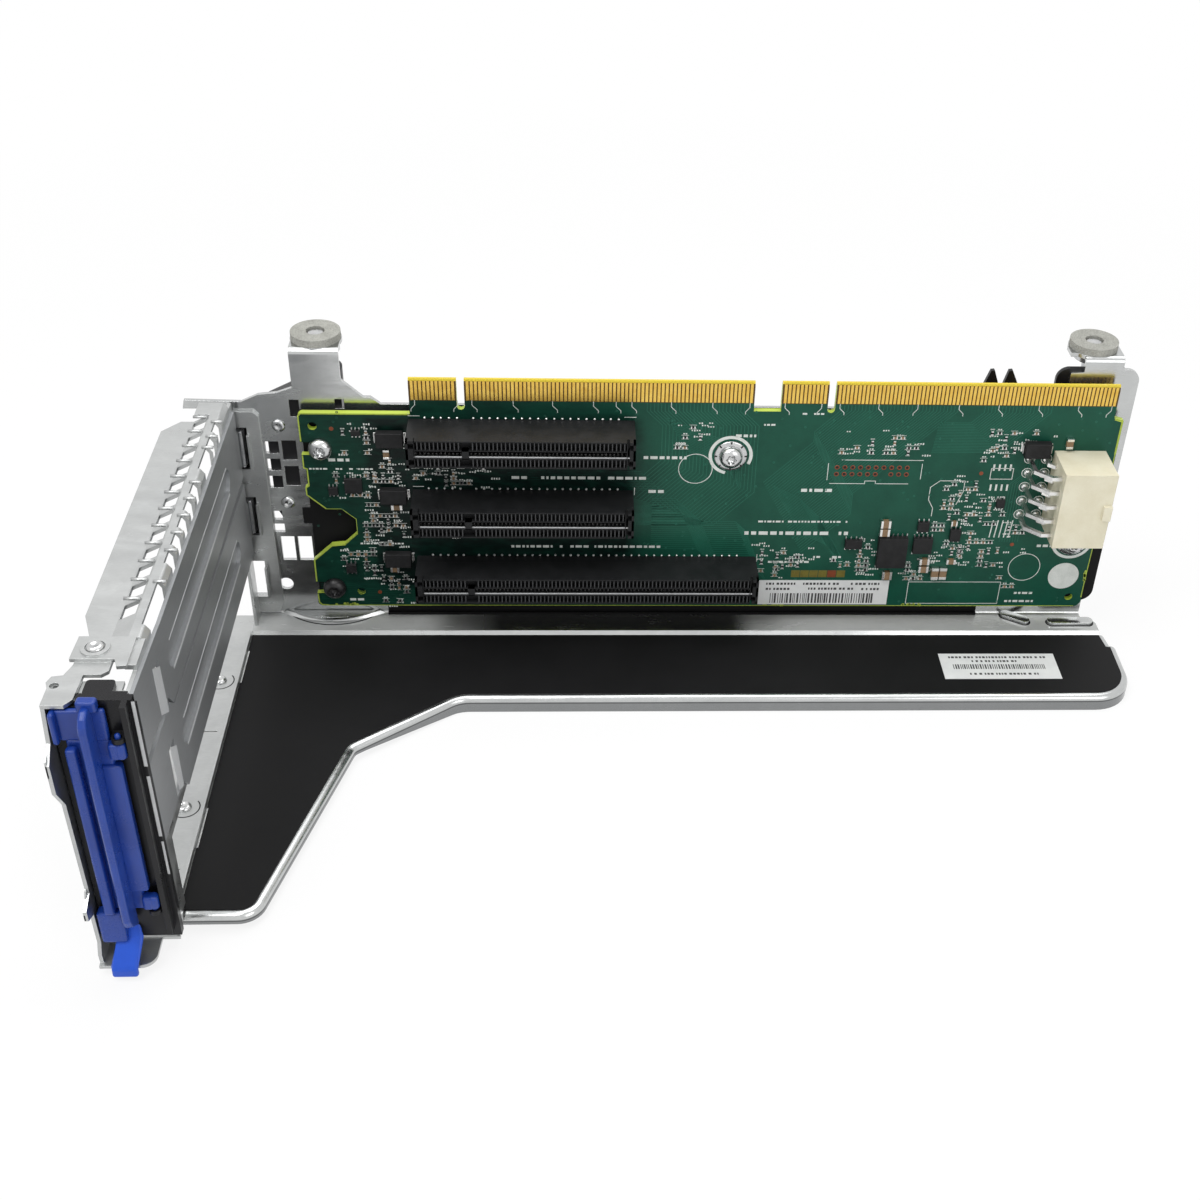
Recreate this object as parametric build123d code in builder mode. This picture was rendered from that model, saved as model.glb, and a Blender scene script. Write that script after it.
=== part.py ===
from build123d import *
import os

# Riser cage assembly of a 2U server: a folded sheet cage that carries the riser board,
# two slot covers, a card retainer latch and two captive screws. Millimetres, +Z up.
# Sizes are written from a datum on the board: its front face, the first pin of the upper slot.

os.makedirs("parts", exist_ok=True)

# Where the datum lies in the assembly's own frame
DX, DY, DZ = -60.7, 52.4, 67.4

# Sheet metal of the cage
T = 1.0                 # cage sheet
T2 = 0.8                # rear panel and slot covers
WALL_Y = 3.6            # front face of the wall behind the board
WALL_L = -48.5
WALL_TOP = 1.7
STRIP_Z = -61.9         # top of the strip at the wall's foot
DECK_Z = -63.0          # top of the cover plate in front of the strip
DECK_Y = -5.4           # where the strip steps down to the cover plate
TABLE_Z = -67.4         # lower edge of the turned-down lip
LIP_OUT = 1.7           # lip's outer face, outside the flat of the cover plate
LIP_SHORT = 1.9         # how much shorter the lip is along the left end
EAR_Z = 16.4            # top of the two ears
EAR_PAD_Y = 10.4        # captive screw axis, behind the board's face
EAR_L = -26.3           # axis of the left captive screw
EAR_W = 12.0
PAD_R, PAD_T, PAD_HOLE = 6.1, 1.8, 2.3
SCREW_R, SCREW_CLEAR, TIP_CLEAR = 2.0, 0.15, 0.08
FILM_T = 0.25
ROUND = 16              # sides of the small fasteners and their holes, which keeps them light

# Board
BOARD_T = 1.6
BOARD_TOP = 1.0
BOARD_BOT = -57.0
EDGE_TOP = 10.6         # tip of the gold edge
EDGE_SHORT, KEY_W, EDGE_LEN, EDGE_GAP = 11.65, 1.9, 85.2, 6.81
EDGE_1 = -3.56                      # left end of the first card edge
EDGE_2 = EDGE_1 + EDGE_LEN + EDGE_GAP
END = EDGE_2 + EDGE_LEN             # right end of the second one, the right end follows it
BOARD_L, BOARD_R = -31.1, END + 2.55
PAD_BOT = 5.2
BEVEL_H, BEVEL_D = 1.3, 0.45
HOLE_R = 1.8            # clearance hole of a board screw
STANDOFF_R = 2.8
SLOT_PITCH = 20.32
SLOT_Z = -4.05          # middle of the upper slot
SLOT_W, SLOT_H = 7.5, 11.2
SLOT_8, SLOT_16 = 56.0, 89.0
SLOT_X = -4.0           # left end of every slot body
POWER = (END - 13.65, END - 0.25, -12.6, -29.7, -8.0)   # power connector: x0, x1, front y, z0, z1
POWER_ROWS = [-18.85 + 4.2 * k for k in range(-2, 3)]
POWER_H = (4.0, 9.9)                            # heights of the two pin rows off the board
POWER_FEET, POWER_DROP = (END - 15.35, END - 19.75), (1.4, 3.6)
PIN_W = 1.0
CAVITY = 8.5
SCREWS = {"mh2": (-26.3, -9.0), "mh1": (-26.3, -51.2), "mh4": (76.6, -10.1), "mh3": (END - 3.85, -35.6)}
WALL_R, EAR_R = END + 5.55, END - 5.65          # wall's right end, axis of the right captive screw
STEM_L, STEM_R = EAR_R - 3.3, EAR_R + 6.6       # sides of the right ear's stem

# Rear panel, slot covers and latch
COVER_X = -46.5         # inner face of the slot covers
PANEL_X = COVER_X - T2  # inner face of the rear panel sheet
PANEL_OUT = -62.5       # outer side of the rear panel
PANEL_Y0, PANEL_Y1 = -112.5, 2.6
HAT_Z, HAT_FLANGE_Z = 4.0, 2.0
HINGE_X, HINGE_Y = -49.3, -117.0
BASE_Y = -115.2         # front face of the latch base plate
PIN_R, PIN_CLEAR, EYE_R = 0.6, 0.2, 1.3


def face(y):
    """Plane across the object at depth y: x to the right, z up, facing the front."""
    return Plane(origin=(DX, DY + y, DZ), x_dir=(1, 0, 0), z_dir=(0, -1, 0))


def deck(z):
    """Level plane at height z: x to the right, y to the back."""
    return Plane(origin=(DX, DY, DZ + z), x_dir=(1, 0, 0), z_dir=(0, 0, 1))


def side(x):
    """Upright plane at x: y to the back, z up, facing right."""
    return Plane(origin=(DX + x, DY, DZ), x_dir=(0, 1, 0), z_dir=(1, 0, 0))


def box(x0, x1, y0, y1, z0, z1, mode=Mode.ADD):
    """Box between two corners in datum sizes, for use inside a part."""
    with Locations((DX + (x0 + x1) / 2, DY + (y0 + y1) / 2, DZ + (z0 + z1) / 2)):
        Box(x1 - x0, y1 - y0, z1 - z0, mode=mode)


def save(part, label):
    """Name the node and write its STEP file."""
    part.label = label
    export_step(part, f"parts/{label}.step")


# Cage frame: outline of the cover plate's flat, with its rounded corners
DECK_LINE = [(WALL_L, DECK_Y), (END + 7.35, DECK_Y), (END + 7.95, -10.7), (END + 9.15, -11.0),
             (END + 8.85, -30.7),
             (7.3, -30.7), (-18.15, -50.4), (-33.1, -105.5), (WALL_L, -105.5)]


def round_corner(point, radius):
    """Round the corner of the current sketch that is nearest to the point."""
    fillet(vertices().sort_by_distance((point[0], point[1], 0))[0:1], radius)


def deck_outline(grow):
    """Cover plate outline in the current sketch, grown outward on its free sides."""
    Polygon(*DECK_LINE, align=None)
    for i, r in ((4, 9), (5, 9), (6, 4), (7, 4)):
        round_corner(DECK_LINE[i], r)
    if grow:
        offset(amount=grow)


WALL_LINE = [(WALL_L, STRIP_Z - T), (WALL_L, 0.0), (-59.4, 0.0), (-58.9, 2.3), (-45.0, 2.0),
             (-40.8, 4.0), (-36.0, 4.6), (EAR_L - EAR_W / 2, 6.0), (EAR_L - EAR_W / 2, 14.0),
             (EAR_L + EAR_W / 2, 14.0), (EAR_L + EAR_W / 2, 8.3), (-15.2, 3.6), (-13.4, 3.6),
             (-11.0, WALL_TOP), (END - 19.15, WALL_TOP), (END - 16.65, 3.6), (END - 15.15, 3.6),
             (END - 12.25, 6.5), (END - 12.25, 12.2), (STEM_L, 12.4), (STEM_L, 14.0), (STEM_R, 14.0),
             (STEM_R + 0.2, 13.3), (WALL_R, 13.3), (WALL_R, -56.5), (WALL_R - 1.9, -59.5),
             (WALL_R - 1.9, STRIP_Z - T)]
# Vent and tool openings in the left end of the wall: x0, x1, z0, z1
VENTS = [(-40.6, -37.2, -12.5, -9.1), (-40.6, -37.2, -17.5, -14.1), (-40.6, -37.2, -22.6, -19.1),
         (-36.4, -32.8, -14.4, -8.8), (-36.4, -32.8, -21.9, -16.2), (-33.4, -31.0, -2.0, 2.7),
         (-22.2, -19.9, 0.4, 3.0), (-40.5, -38.4, -32.3, -29.6), (-40.8, -38.2, -36.1, -33.5),
         (-39.6, -36.1, -44.8, -37.4), (-35.2, -31.6, -44.8, -37.4)]
TIP_SLOTS = [(-16.7, -4.7), (-36.5, -24.9), (-56.0, -44.5)]
RIVETS = [(-36.6, -4.5), (-36.5, -27.0)]

with BuildPart() as cage_frame:
    # wall behind the board
    with BuildSketch(face(WALL_Y + T)):
        Polygon(*WALL_LINE, align=None)
        round_corner((WALL_R, 13.3), 3.4)
    extrude(amount=T)
    # strip at the wall's foot and its step down to the cover plate
    with BuildSketch(side(WALL_L)):
        Polygon((WALL_Y, -58.0), (WALL_Y, STRIP_Z), (DECK_Y + 0.8, STRIP_Z), (DECK_Y, DECK_Z),
                (DECK_Y - 1.0, DECK_Z), (DECK_Y - 1.0, DECK_Z - T), (DECK_Y + 0.6, DECK_Z - T),
                (DECK_Y + 1.4, STRIP_Z - T), (WALL_Y + T, STRIP_Z - T), (WALL_Y + T, -58.0),
                align=None)
        round_corner((WALL_Y + T, STRIP_Z - T), 1.8)
        round_corner((WALL_Y, STRIP_Z), 0.8)
    extrude(amount=END + 7.35 - WALL_L)
    box(WALL_R - 1.9, WALL_R + 2.8, 0.6, WALL_Y + T + 1, STRIP_Z - 2 * T, -55.0, Mode.SUBTRACT)
    with BuildSketch(deck(STRIP_Z - 2 * T)):
        Polygon((WALL_R + 0.8, 0.7), (WALL_R + 2.8, 0.7), (WALL_R + 2.8, -2.0), (WALL_R + 1.8, -1.4),
                align=None)
    extrude(amount=3 * T, mode=Mode.SUBTRACT)
    # ears: stem, bend and level tab
    for mid, x0, x1 in ((EAR_L, EAR_L - EAR_W / 2, EAR_L + EAR_W / 2), (EAR_R, STEM_L, STEM_R)):
        with BuildSketch(side(x0)):
            Polygon((WALL_Y, 13.0), (WALL_Y, EAR_Z), (EAR_PAD_Y, EAR_Z), (EAR_PAD_Y, EAR_Z - T),
                    (WALL_Y + T, EAR_Z - T), (WALL_Y + T, 13.0), align=None)
            round_corner((WALL_Y, EAR_Z), 1.6)
            round_corner((WALL_Y + T, EAR_Z - T), 0.6)
        extrude(amount=x1 - x0)
        with BuildSketch(deck(EAR_Z - T)):
            with Locations((mid, EAR_PAD_Y)):
                Circle(EAR_W / 2 + 0.3)
        extrude(amount=T)
    box(STEM_L - 3.3, STEM_L + 0.3, 6.3, EAR_PAD_Y, EAR_Z - T, EAR_Z)
    for mid in (EAR_L, EAR_R):
        with BuildSketch(deck(EAR_Z - 2 * T)):
            with Locations((mid, EAR_PAD_Y)):
                RegularPolygon(SCREW_R + 0.4, ROUND)
        extrude(amount=3 * T, mode=Mode.SUBTRACT)
    # ribs and the half-moon gusset that stiffen the foot
    with BuildSketch(deck(STRIP_Z)) as ribs:
        with Locations((WALL_R - 5.6, -1.0)):
            SlotOverall(12.4, 2.6)
        with Locations((WALL_R - 20.6, 0.9)):
            SlotOverall(8.0, 2.6, rotation=-32)
    extrude(amount=0.8)
    with BuildSketch(deck(STRIP_Z)) as moon:
        with BuildLine():
            ThreePointArc((-42.0, WALL_Y), (-27.8, -0.6), (-13.6, WALL_Y))
            Line((-13.6, WALL_Y), (-42.0, WALL_Y))
        make_face()
    extrude(amount=1.0, taper=25)
    # openings in the wall
    with BuildSketch(face(WALL_Y + 2 * T)):
        for x0, x1, z0, z1 in VENTS:
            with Locations(((x0 + x1) / 2, (z0 + z1) / 2)):
                Rectangle(x1 - x0, z1 - z0)
        for z0, z1 in TIP_SLOTS:
            with Locations((-46.0, (z0 + z1) / 2)):
                Rectangle(3.6, z1 - z0)
        with Locations((-39.6, -52.4)):
            RegularPolygon(1.85, ROUND)
        with Locations(*SCREWS.values()):
            RegularPolygon(1.7, ROUND)
        with Locations(*RIVETS):
            RegularPolygon(1.1, ROUND)
    extrude(amount=4 * T, mode=Mode.SUBTRACT)
    # cover plate with its turned-down lip
    with BuildSketch(deck(DECK_Z - T)):
        deck_outline(0)
    extrude(amount=T)
    with BuildPart(mode=Mode.PRIVATE) as tray:
        with BuildSketch(deck(TABLE_Z)):
            deck_outline(LIP_OUT)
        extrude(amount=DECK_Z - TABLE_Z)
        fillet(tray.faces().sort_by(Axis.Z)[-1].edges(), 1.5)
        with BuildSketch(deck(TABLE_Z)):
            deck_outline(LIP_OUT - T)
        extrude(amount=DECK_Z - TABLE_Z - T, mode=Mode.SUBTRACT)
        box(WALL_L - 9, 190, DECK_Y, 9, TABLE_Z - 1, DECK_Z + 1, Mode.SUBTRACT)
        box(WALL_L - 9, WALL_L, -120, 9, TABLE_Z - 1, DECK_Z + 1, Mode.SUBTRACT)
        with BuildSketch(face(-31.0)):
            Polygon((-60.0, TABLE_Z - 1), (9.0, TABLE_Z - 1), (9.0, TABLE_Z), (-14.0, TABLE_Z + LIP_SHORT),
                    (-60.0, TABLE_Z + LIP_SHORT), align=None)
        extrude(amount=90, mode=Mode.SUBTRACT)
    add(tray.part)
save(cage_frame.part, "cage_frame")

# Black insulating film on the cover plate, and the label stuck on it
with BuildPart() as deck_film:
    with BuildSketch(deck(DECK_Z)):
        deck_outline(-0.15)
    extrude(amount=FILM_T)
save(deck_film.part, "deck_film")

LABEL_T = 0.12
with BuildPart() as deck_label:
    box(END - 39.15, END - 7.75, -25.1, -14.2, DECK_Z + FILM_T, DECK_Z + FILM_T + LABEL_T)
save(deck_label.part, "deck_label")

# Black insulating film on the wall, behind the board
with BuildPart() as wall_film:
    with BuildSketch(face(WALL_Y)):
        Polygon((-31.0, 0.0), (-31.0, -28.5), (-33.1, -28.5), (-33.1, -33.2), (-31.0, -33.2),
                (-31.0, -57.3), (WALL_R + 0.6, -57.3), (WALL_R + 0.6, -25.0), (WALL_R - 3.6, -25.0),
                (WALL_R - 3.6, 0.0), align=None)
        round_corner((WALL_R + 0.6, -57.3), 3.5)
        with Locations(*SCREWS.values()):
            RegularPolygon(STANDOFF_R + 0.4, 6, mode=Mode.SUBTRACT)
    extrude(amount=FILM_T)
save(wall_film.part, "wall_film")

# Board standoffs, clinched on the wall
with BuildPart() as standoffs:
    with BuildSketch(face(WALL_Y)):
        with Locations(*SCREWS.values()):
            RegularPolygon(STANDOFF_R, 6)
        with Locations(*SCREWS.values()):
            RegularPolygon(1.6, ROUND, mode=Mode.SUBTRACT)
    extrude(amount=WALL_Y - BOARD_T)
save(standoffs.part, "standoffs")

# Riser board
BOARD_LINE = [(BOARD_L, BOARD_TOP), (EDGE_1, BOARD_TOP), (EDGE_1, EDGE_TOP),
              (EDGE_1 + EDGE_LEN, EDGE_TOP), (EDGE_1 + EDGE_LEN, 2.6), (EDGE_2, 2.6),
              (EDGE_2, EDGE_TOP), (EDGE_2 + EDGE_LEN, EDGE_TOP), (EDGE_2 + EDGE_LEN, 1.5),
              (BOARD_R, 0.8), (BOARD_R, -20.0), (BOARD_R - 0.4, -44.0), (BOARD_R - 0.4, BOARD_BOT),
              (BOARD_L, BOARD_BOT), (BOARD_L, -42.6), (-26.0, -37.8), (-22.5, -37.4),
              (-19.2, -34.2), (-19.2, -29.8), (-22.6, -26.8), (-26.4, -26.8), (BOARD_L, -22.6),
              (BOARD_L, -20.4), (-30.3, -19.9), (-30.3, -14.8), (BOARD_L, -14.5)]
TOOL_HOLES = [(-27.7, -2.6), (-19.4, -52.3), (BOARD_R - 4.1, -53.8)]

with BuildPart() as riser_board:
    with BuildSketch(face(BOARD_T)):
        Polygon(*BOARD_LINE, align=None)
        for i, r in ((0, 1.2), (12, 2.0), (13, 1.2)):
            round_corner(BOARD_LINE[i], r)
        for left in (EDGE_1, EDGE_2):
            with Locations((left + EDGE_SHORT + KEY_W / 2, (EDGE_TOP + 3.3) / 2 + 1)):
                Rectangle(KEY_W, EDGE_TOP - 3.3 + 2, mode=Mode.SUBTRACT)
            with Locations((left + EDGE_SHORT + KEY_W / 2, 3.3)):
                Circle(KEY_W / 2, mode=Mode.SUBTRACT)
        for name in ("mh1", "mh2"):
            x, z = SCREWS[name]
            with Locations(((x + BOARD_L - 1) / 2, z)):
                Rectangle(x - BOARD_L + 1, 2 * HOLE_R, mode=Mode.SUBTRACT)
        with Locations(*SCREWS.values()):
            RegularPolygon(HOLE_R, ROUND, mode=Mode.SUBTRACT)
        with Locations(*TOOL_HOLES):
            RegularPolygon(1.1, ROUND, mode=Mode.SUBTRACT)
        with Locations(*[(x, z) for x in POWER_FEET for z in POWER_ROWS]):
            Rectangle(PIN_W, PIN_W, mode=Mode.SUBTRACT)
    extrude(amount=BOARD_T)
    for y, s in ((0, 1), (BOARD_T, -1)):
        with BuildSketch(side(EDGE_1 - 1)):
            Polygon((y, EDGE_TOP - BEVEL_H), (y, EDGE_TOP), (y + s * BEVEL_D, EDGE_TOP), align=None)
        extrude(amount=EDGE_2 + EDGE_LEN - EDGE_1 + 2, mode=Mode.SUBTRACT)
save(riser_board.part, "riser_board")

# Gold contacts of the two card edges, one node on each face of the board. Each run of contacts is a plain
# strip here: x0, x1
RUNS = [(left + 0.48, left + EDGE_SHORT - 0.47) for left in (EDGE_1, EDGE_2)]
RUNS += [(left + EDGE_SHORT + KEY_W + 0.48, left + EDGE_LEN - 0.47) for left in (EDGE_1, EDGE_2)]
PAD_TOP, FOIL = EDGE_TOP - BEVEL_H, 0.05
for label, y in (("edge_contacts_front", -FOIL), ("edge_contacts_rear", BOARD_T)):
    with BuildPart() as contacts:
        for x0, x1 in RUNS:
            box(x0, x1, y, y + FOIL, PAD_BOT, PAD_TOP)
    save(contacts.part, label)

# Slot connectors: body, card groove with its key, hollow ends and contact recesses
GROOVE_W, GROOVE_D = 1.9, 8.0
for label, row, length in (("slot_x8_upper", 0, SLOT_8), ("slot_x8_middle", 1, SLOT_8),
                           ("slot_x16_lower", 2, SLOT_16)):
    z = SLOT_Z - row * SLOT_PITCH
    with BuildPart() as slot:
        box(SLOT_X, SLOT_X + length, -SLOT_H, 0, z - SLOT_W / 2, z + SLOT_W / 2)
        chamfer(slot.faces().sort_by(Axis.Y)[0].edges(), 0.35)
        box(SLOT_X + 1.9, SLOT_X + 13.6, -SLOT_H - 1, -SLOT_H + GROOVE_D,
            z - GROOVE_W / 2, z + GROOVE_W / 2, Mode.SUBTRACT)
        box(SLOT_X + 15.3, SLOT_X + length - 1.5, -SLOT_H - 1, -SLOT_H + GROOVE_D,
            z - GROOVE_W / 2, z + GROOVE_W / 2, Mode.SUBTRACT)
        for s in (-1, 1):
            for x0 in (SLOT_X + 0.7, SLOT_X + length - 2.1):
                box(x0, x0 + 1.4, -SLOT_H - 1, -SLOT_H + 2.0, z + s * 2.2 - 0.7, z + s * 2.2 + 0.7,
                    Mode.SUBTRACT)
    save(slot.part, label)

# Power connector: body with ten cavities on its mating side, latch ramp and bent pins
with BuildPart() as power_connector:
    x0, x1, yf, z0, z1 = POWER
    box(x0, x1, yf, 0, z0, z1)
    box(x1 - 2.2, x1, yf - 0.9, yf, -20.9, -16.8)
    for zr in POWER_ROWS:
        for h in POWER_H:
            mid = min(h, 9.6)
            box(x1 - CAVITY, x1 + 1, -mid - 1.75, -mid + 1.75, zr - 1.7, zr + 1.7, Mode.SUBTRACT)
            box(x0 - 1, x1 - CAVITY, -h - PIN_W / 2, -h + PIN_W / 2, zr - PIN_W / 2, zr + PIN_W / 2,
                Mode.SUBTRACT)
save(power_connector.part, "power_connector")

with BuildPart() as power_pins:
    for zr in POWER_ROWS:
        for h, xb, drop in zip(POWER_H, POWER_FEET, POWER_DROP):
            with BuildSketch(deck(zr - PIN_W / 2)):
                Polygon((x1 - 2.5, -h - 0.5), (xb + drop - 0.2, -h - 0.5), (xb - 0.5, -h + drop - 0.5),
                        (xb - 0.5, BOARD_T + 0.7), (xb + 0.5, BOARD_T + 0.7), (xb + 0.5, -h + drop - 0.1),
                        (xb + drop + 0.2, -h + 0.5), (x1 - 2.5, -h + 0.5), align=None)
            extrude(amount=PIN_W)
save(power_pins.part, "power_pins")

# Parts soldered on the board's face: x0, x1, z0, z1 and height, one node for each kind. Those near the
# right end are written from the end of the second card edge.
BOARD_PARTS = {
    "logic_chips": [
        (0, [(-21.2, -16.6, -21.6, -17.2, 1.0), (-25.3, -22.8, -22.2, -19.8, 1.0),
             (-22.8, -20.0, -46.0, -43.2, 1.0), (-18.4, -16.0, -5.0, -3.4, 1.0)]),
        (END, [(-65.25, -60.55, -37.9, -35.0, 1.2), (-37.55, -34.55, -35.4, -31.6, 1.2),
               (-26.65, -24.25, -25.0, -22.4, 1.1), (-46.45, -43.25, -32.6, -29.4, 1.0)])],
    "power_modules": [
        (END, [(-56.45, -48.45, -43.4, -34.0, 2.0), (-47.05, -41.75, -39.2, -34.2, 1.4)])],
    "tantalum_capacitors": [
        (0, [(-12.4, -5.4, -7.5, -3.4, 2.4), (-12.4, -5.4, -23.9, -19.8, 2.4),
             (-12.4, -5.4, -43.3, -39.2, 2.4)]),
        (END, [(-22.05, -15.05, -9.2, -5.0, 2.4)])],
    "ceramic_capacitors": [
        (0, [(-10.8, -9.3, -11.4, -8.8, 1.0), (-9.8, -7.0, -26.4, -25.0, 1.0),
             (-11.2, -9.0, -45.6, -44.2, 1.0)]),
        (END, [(-56.25, -53.65, -31.2, -29.0, 1.2), (-56.25, -53.65, -33.8, -31.6, 1.2),
               (-54.15, -51.55, -47.6, -45.2, 1.2), (-44.55, -41.85, -42.8, -41.0, 1.2),
               (-44.55, -41.85, -45.3, -43.4, 1.2), (-40.85, -38.95, -47.5, -43.9, 1.2),
               (-38.65, -36.75, -47.5, -43.9, 1.2), (-37.25, -34.75, -42.6, -41.2, 1.1),
               (-11.15, -9.45, -7.0, -4.2, 1.1), (-37.55, -35.95, -30.6, -29.2, 0.9)])],
}
for label, places in BOARD_PARTS.items():
    with BuildPart() as group:
        for start, items in places:
            for x0, x1, za, zb, high in items:
                box(start + x0, start + x1, -high, 0, za, zb)
    save(group.part, label)

with BuildPart() as board_label:
    box(86.6, 121.9, -LABEL_T, 0, -56.4, -48.5)
save(board_label.part, "board_label")

# Board screws: washers, three bright screws and one black one
HEAD_R, HEAD_H, WASHER_R, WASHER_T = 3.0, 2.1, 3.6, 0.6
with BuildPart() as board_washers:
    with BuildSketch(face(0)):
        for name in ("mh4", "mh3"):
            with Locations(SCREWS[name]):
                RegularPolygon(WASHER_R, ROUND)
                RegularPolygon(1.6, ROUND, mode=Mode.SUBTRACT)
    extrude(amount=WASHER_T)
save(board_washers.part, "board_washers")


def pan_screw(x, z, seat):
    """Pan head screw through the board into its standoff, seat is the gap under the head."""
    with BuildPart(mode=Mode.PRIVATE) as screw:
        with BuildSketch(face(-seat)):
            with Locations((x, z)):
                RegularPolygon(HEAD_R, ROUND)
        extrude(amount=HEAD_H, taper=14)
        with BuildSketch(face(-seat - HEAD_H)):
            with Locations((x, z)):
                RegularPolygon(1.1, 6)
        extrude(amount=-1.2, mode=Mode.SUBTRACT)
        with BuildSketch(face(-seat)):
            with Locations((x, z)):
                RegularPolygon(1.5, ROUND)
        extrude(amount=-(seat + WALL_Y + T))
    return screw.part


with BuildPart() as board_screws:
    for name, seat in (("mh2", 0), ("mh4", WASHER_T), ("mh3", WASHER_T)):
        add(pan_screw(*SCREWS[name], seat))
save(board_screws.part, "board_screws")

save(pan_screw(*SCREWS["mh1"], 0), "board_screw_black")

# Plastic guides of the captive screws, on the back of the wall
GUIDE_TOP = 8.4
GUIDES = {
    "left": (EAR_L, 3.0, -31.8, 5.7, [(-39.9, 1.4), (-38.6, 2.9), (-32.6, 5.9), (-20.6, 5.9), (-20.6, -31.8),
                                      (-38.6, -31.8), (-39.9, -29.0)]),
    "right": (EAR_R, 1.2, -20.0, 4.4, [(EAR_R - 9.8, -20.0), (EAR_R - 9.8, 13.0), (EAR_R + 7.4, 13.0),
                                       (EAR_R + 7.4, -20.0)]),
}
for name, (mid, thick, low, tube_r, line) in GUIDES.items():
    with BuildPart() as guide:
        with BuildSketch(face(WALL_Y + T + thick)):
            Polygon(*line, align=None)
            if name == "right":
                round_corner((EAR_R - 9.8, 13.0), 3.2)
            else:
                with Locations(*RIVETS):
                    RegularPolygon(1.1, ROUND, mode=Mode.SUBTRACT)
        extrude(amount=thick)
        with BuildSketch(deck(low)):
            with Locations((mid, EAR_PAD_Y)):
                Circle(tube_r)
        extrude(amount=GUIDE_TOP - low)
        box(mid - 2.6, mid + 2.6, WALL_Y + T + thick - 0.5, EAR_PAD_Y, low, GUIDE_TOP)
        with BuildSketch(deck(low - 1)):
            with Locations((mid, EAR_PAD_Y)):
                Circle(SCREW_R + SCREW_CLEAR)
        extrude(amount=GUIDE_TOP - low + 2, mode=Mode.SUBTRACT)
    save(guide.part, f"screw_guide_{name}")

# Captive screws: knob, shaft and turned-down tip, and the loose collar that retains each one
KNOB_R, KNOB_H, TIP_R = 4.6, 7.0, 1.8
COLLAR_Z0, COLLAR_Z1 = 13.3, EAR_Z - T - 0.2
for name, collar_r in (("left", 5.6), ("right", 4.4)):
    mid, thick, low, tube_r, line = GUIDES[name]
    with BuildPart() as captive:
        with BuildSketch(deck(low - 0.2 - KNOB_H)):
            with Locations((mid, EAR_PAD_Y)):
                Circle(KNOB_R)
        extrude(amount=KNOB_H)
        chamfer(captive.edges().group_by(Axis.Z)[0], 0.6)
        for r, z0, z1 in ((SCREW_R, low - 0.2, COLLAR_Z0), (TIP_R, COLLAR_Z0, EAR_Z + PAD_T - 0.5)):
            with BuildSketch(deck(z0)):
                with Locations((mid, EAR_PAD_Y)):
                    Circle(r)
            extrude(amount=z1 - z0)
        box(mid - 5, mid + 5, EAR_PAD_Y - 0.5, EAR_PAD_Y + 0.5, low - 1 - KNOB_H, low - KNOB_H + 0.9,
            Mode.SUBTRACT)
    save(captive.part, f"captive_screw_{name}")
    with BuildPart() as collar:
        with BuildSketch(deck(COLLAR_Z0)):
            with Locations((mid, EAR_PAD_Y)):
                Circle(collar_r)
                Circle(TIP_R + TIP_CLEAR, mode=Mode.SUBTRACT)
        extrude(amount=COLLAR_Z1 - COLLAR_Z0)
    save(collar.part, f"screw_collar_{name}")

for label, mid in (("pad_left", EAR_L), ("pad_right", EAR_R)):
    with BuildPart() as pad:
        with BuildSketch(deck(EAR_Z)):
            with Locations((mid, EAR_PAD_Y)):
                Circle(PAD_R)
                Circle(PAD_HOLE, mode=Mode.SUBTRACT)
        extrude(amount=PAD_T)
    save(pad.part, label)

# Rivets: two in the wall, two in the rear panel's foot and one in its top plate
with BuildPart() as wall_rivets:
    with BuildSketch(face(WALL_Y + T + GUIDES["left"][1])):
        with Locations(*RIVETS):
            RegularPolygon(1.1, ROUND)
    extrude(amount=GUIDES["left"][1] + T + 0.2)
    with BuildSketch(face(WALL_Y)):
        with Locations(*RIVETS):
            RegularPolygon(1.65, ROUND)
    extrude(amount=0.7, taper=30)
save(wall_rivets.part, "wall_rivets")

# Cable clip on the back of the wall, its two blades stand above the board
with BuildPart() as cable_clip:
    box(139.5, 150.5, WALL_Y + T, WALL_Y + T + 2.2, -6.0, 1.5)
    for tip, lo, hi in ((142.0, 140.3, 144.3), (146.6, 145.2, 149.4)):
        with BuildSketch(face(WALL_Y + T + 2.2)):
            Polygon((lo, 1.5), (lo, 7.6), (tip - 0.4, 11.6), (tip + 0.5, 11.7), (hi, 7.0), (hi, 1.5),
                    align=None)
        extrude(amount=1.2)
save(cable_clip.part, "cable_clip")

# Rear panel: slot frame, ribbed top hat, foot flange, wall flange and the near-end pocket
OPENINGS = [(-17.4, -2.0), (-38.2, -21.6), (-63.5, -42.4)]
OPEN_Y0, OPEN_Y1 = -104.0, -2.5
ROW_1 = [-10.2 - 6.85 * k for k in range(12)]
ROW_2 = [(-12.5, 4.9), (-19.5, 4.9), (-27.0, 9.6), (-40.2, 4.9), (-47.1, 4.9), (-54.0, 4.9),
         (-60.9, 4.9), (-67.8, 4.9), (-84.5, 15.0)]
RIM_Z = HAT_Z - T2      # underside of the hat, top of the pocket's tab plate
STEP_Y = -6.6           # far end of the hat's outer flange
CAP_Z = 2.2             # top of the sheet behind the cover tabs
FOOT = [(-107.4, DECK_Z + T2), (-111.2, -64.4), (-119.7, -64.4), (-119.7, -65.2), (-111.5, -65.2),
        (-107.8, DECK_Z), (PANEL_Y1, DECK_Z), (PANEL_Y1, DECK_Z + T2)]
FOOT_RIVETS = [(-53.4, -25.9), (-53.4, -73.4)]
TOP_RIVET = (-56.0, -99.8)
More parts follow.
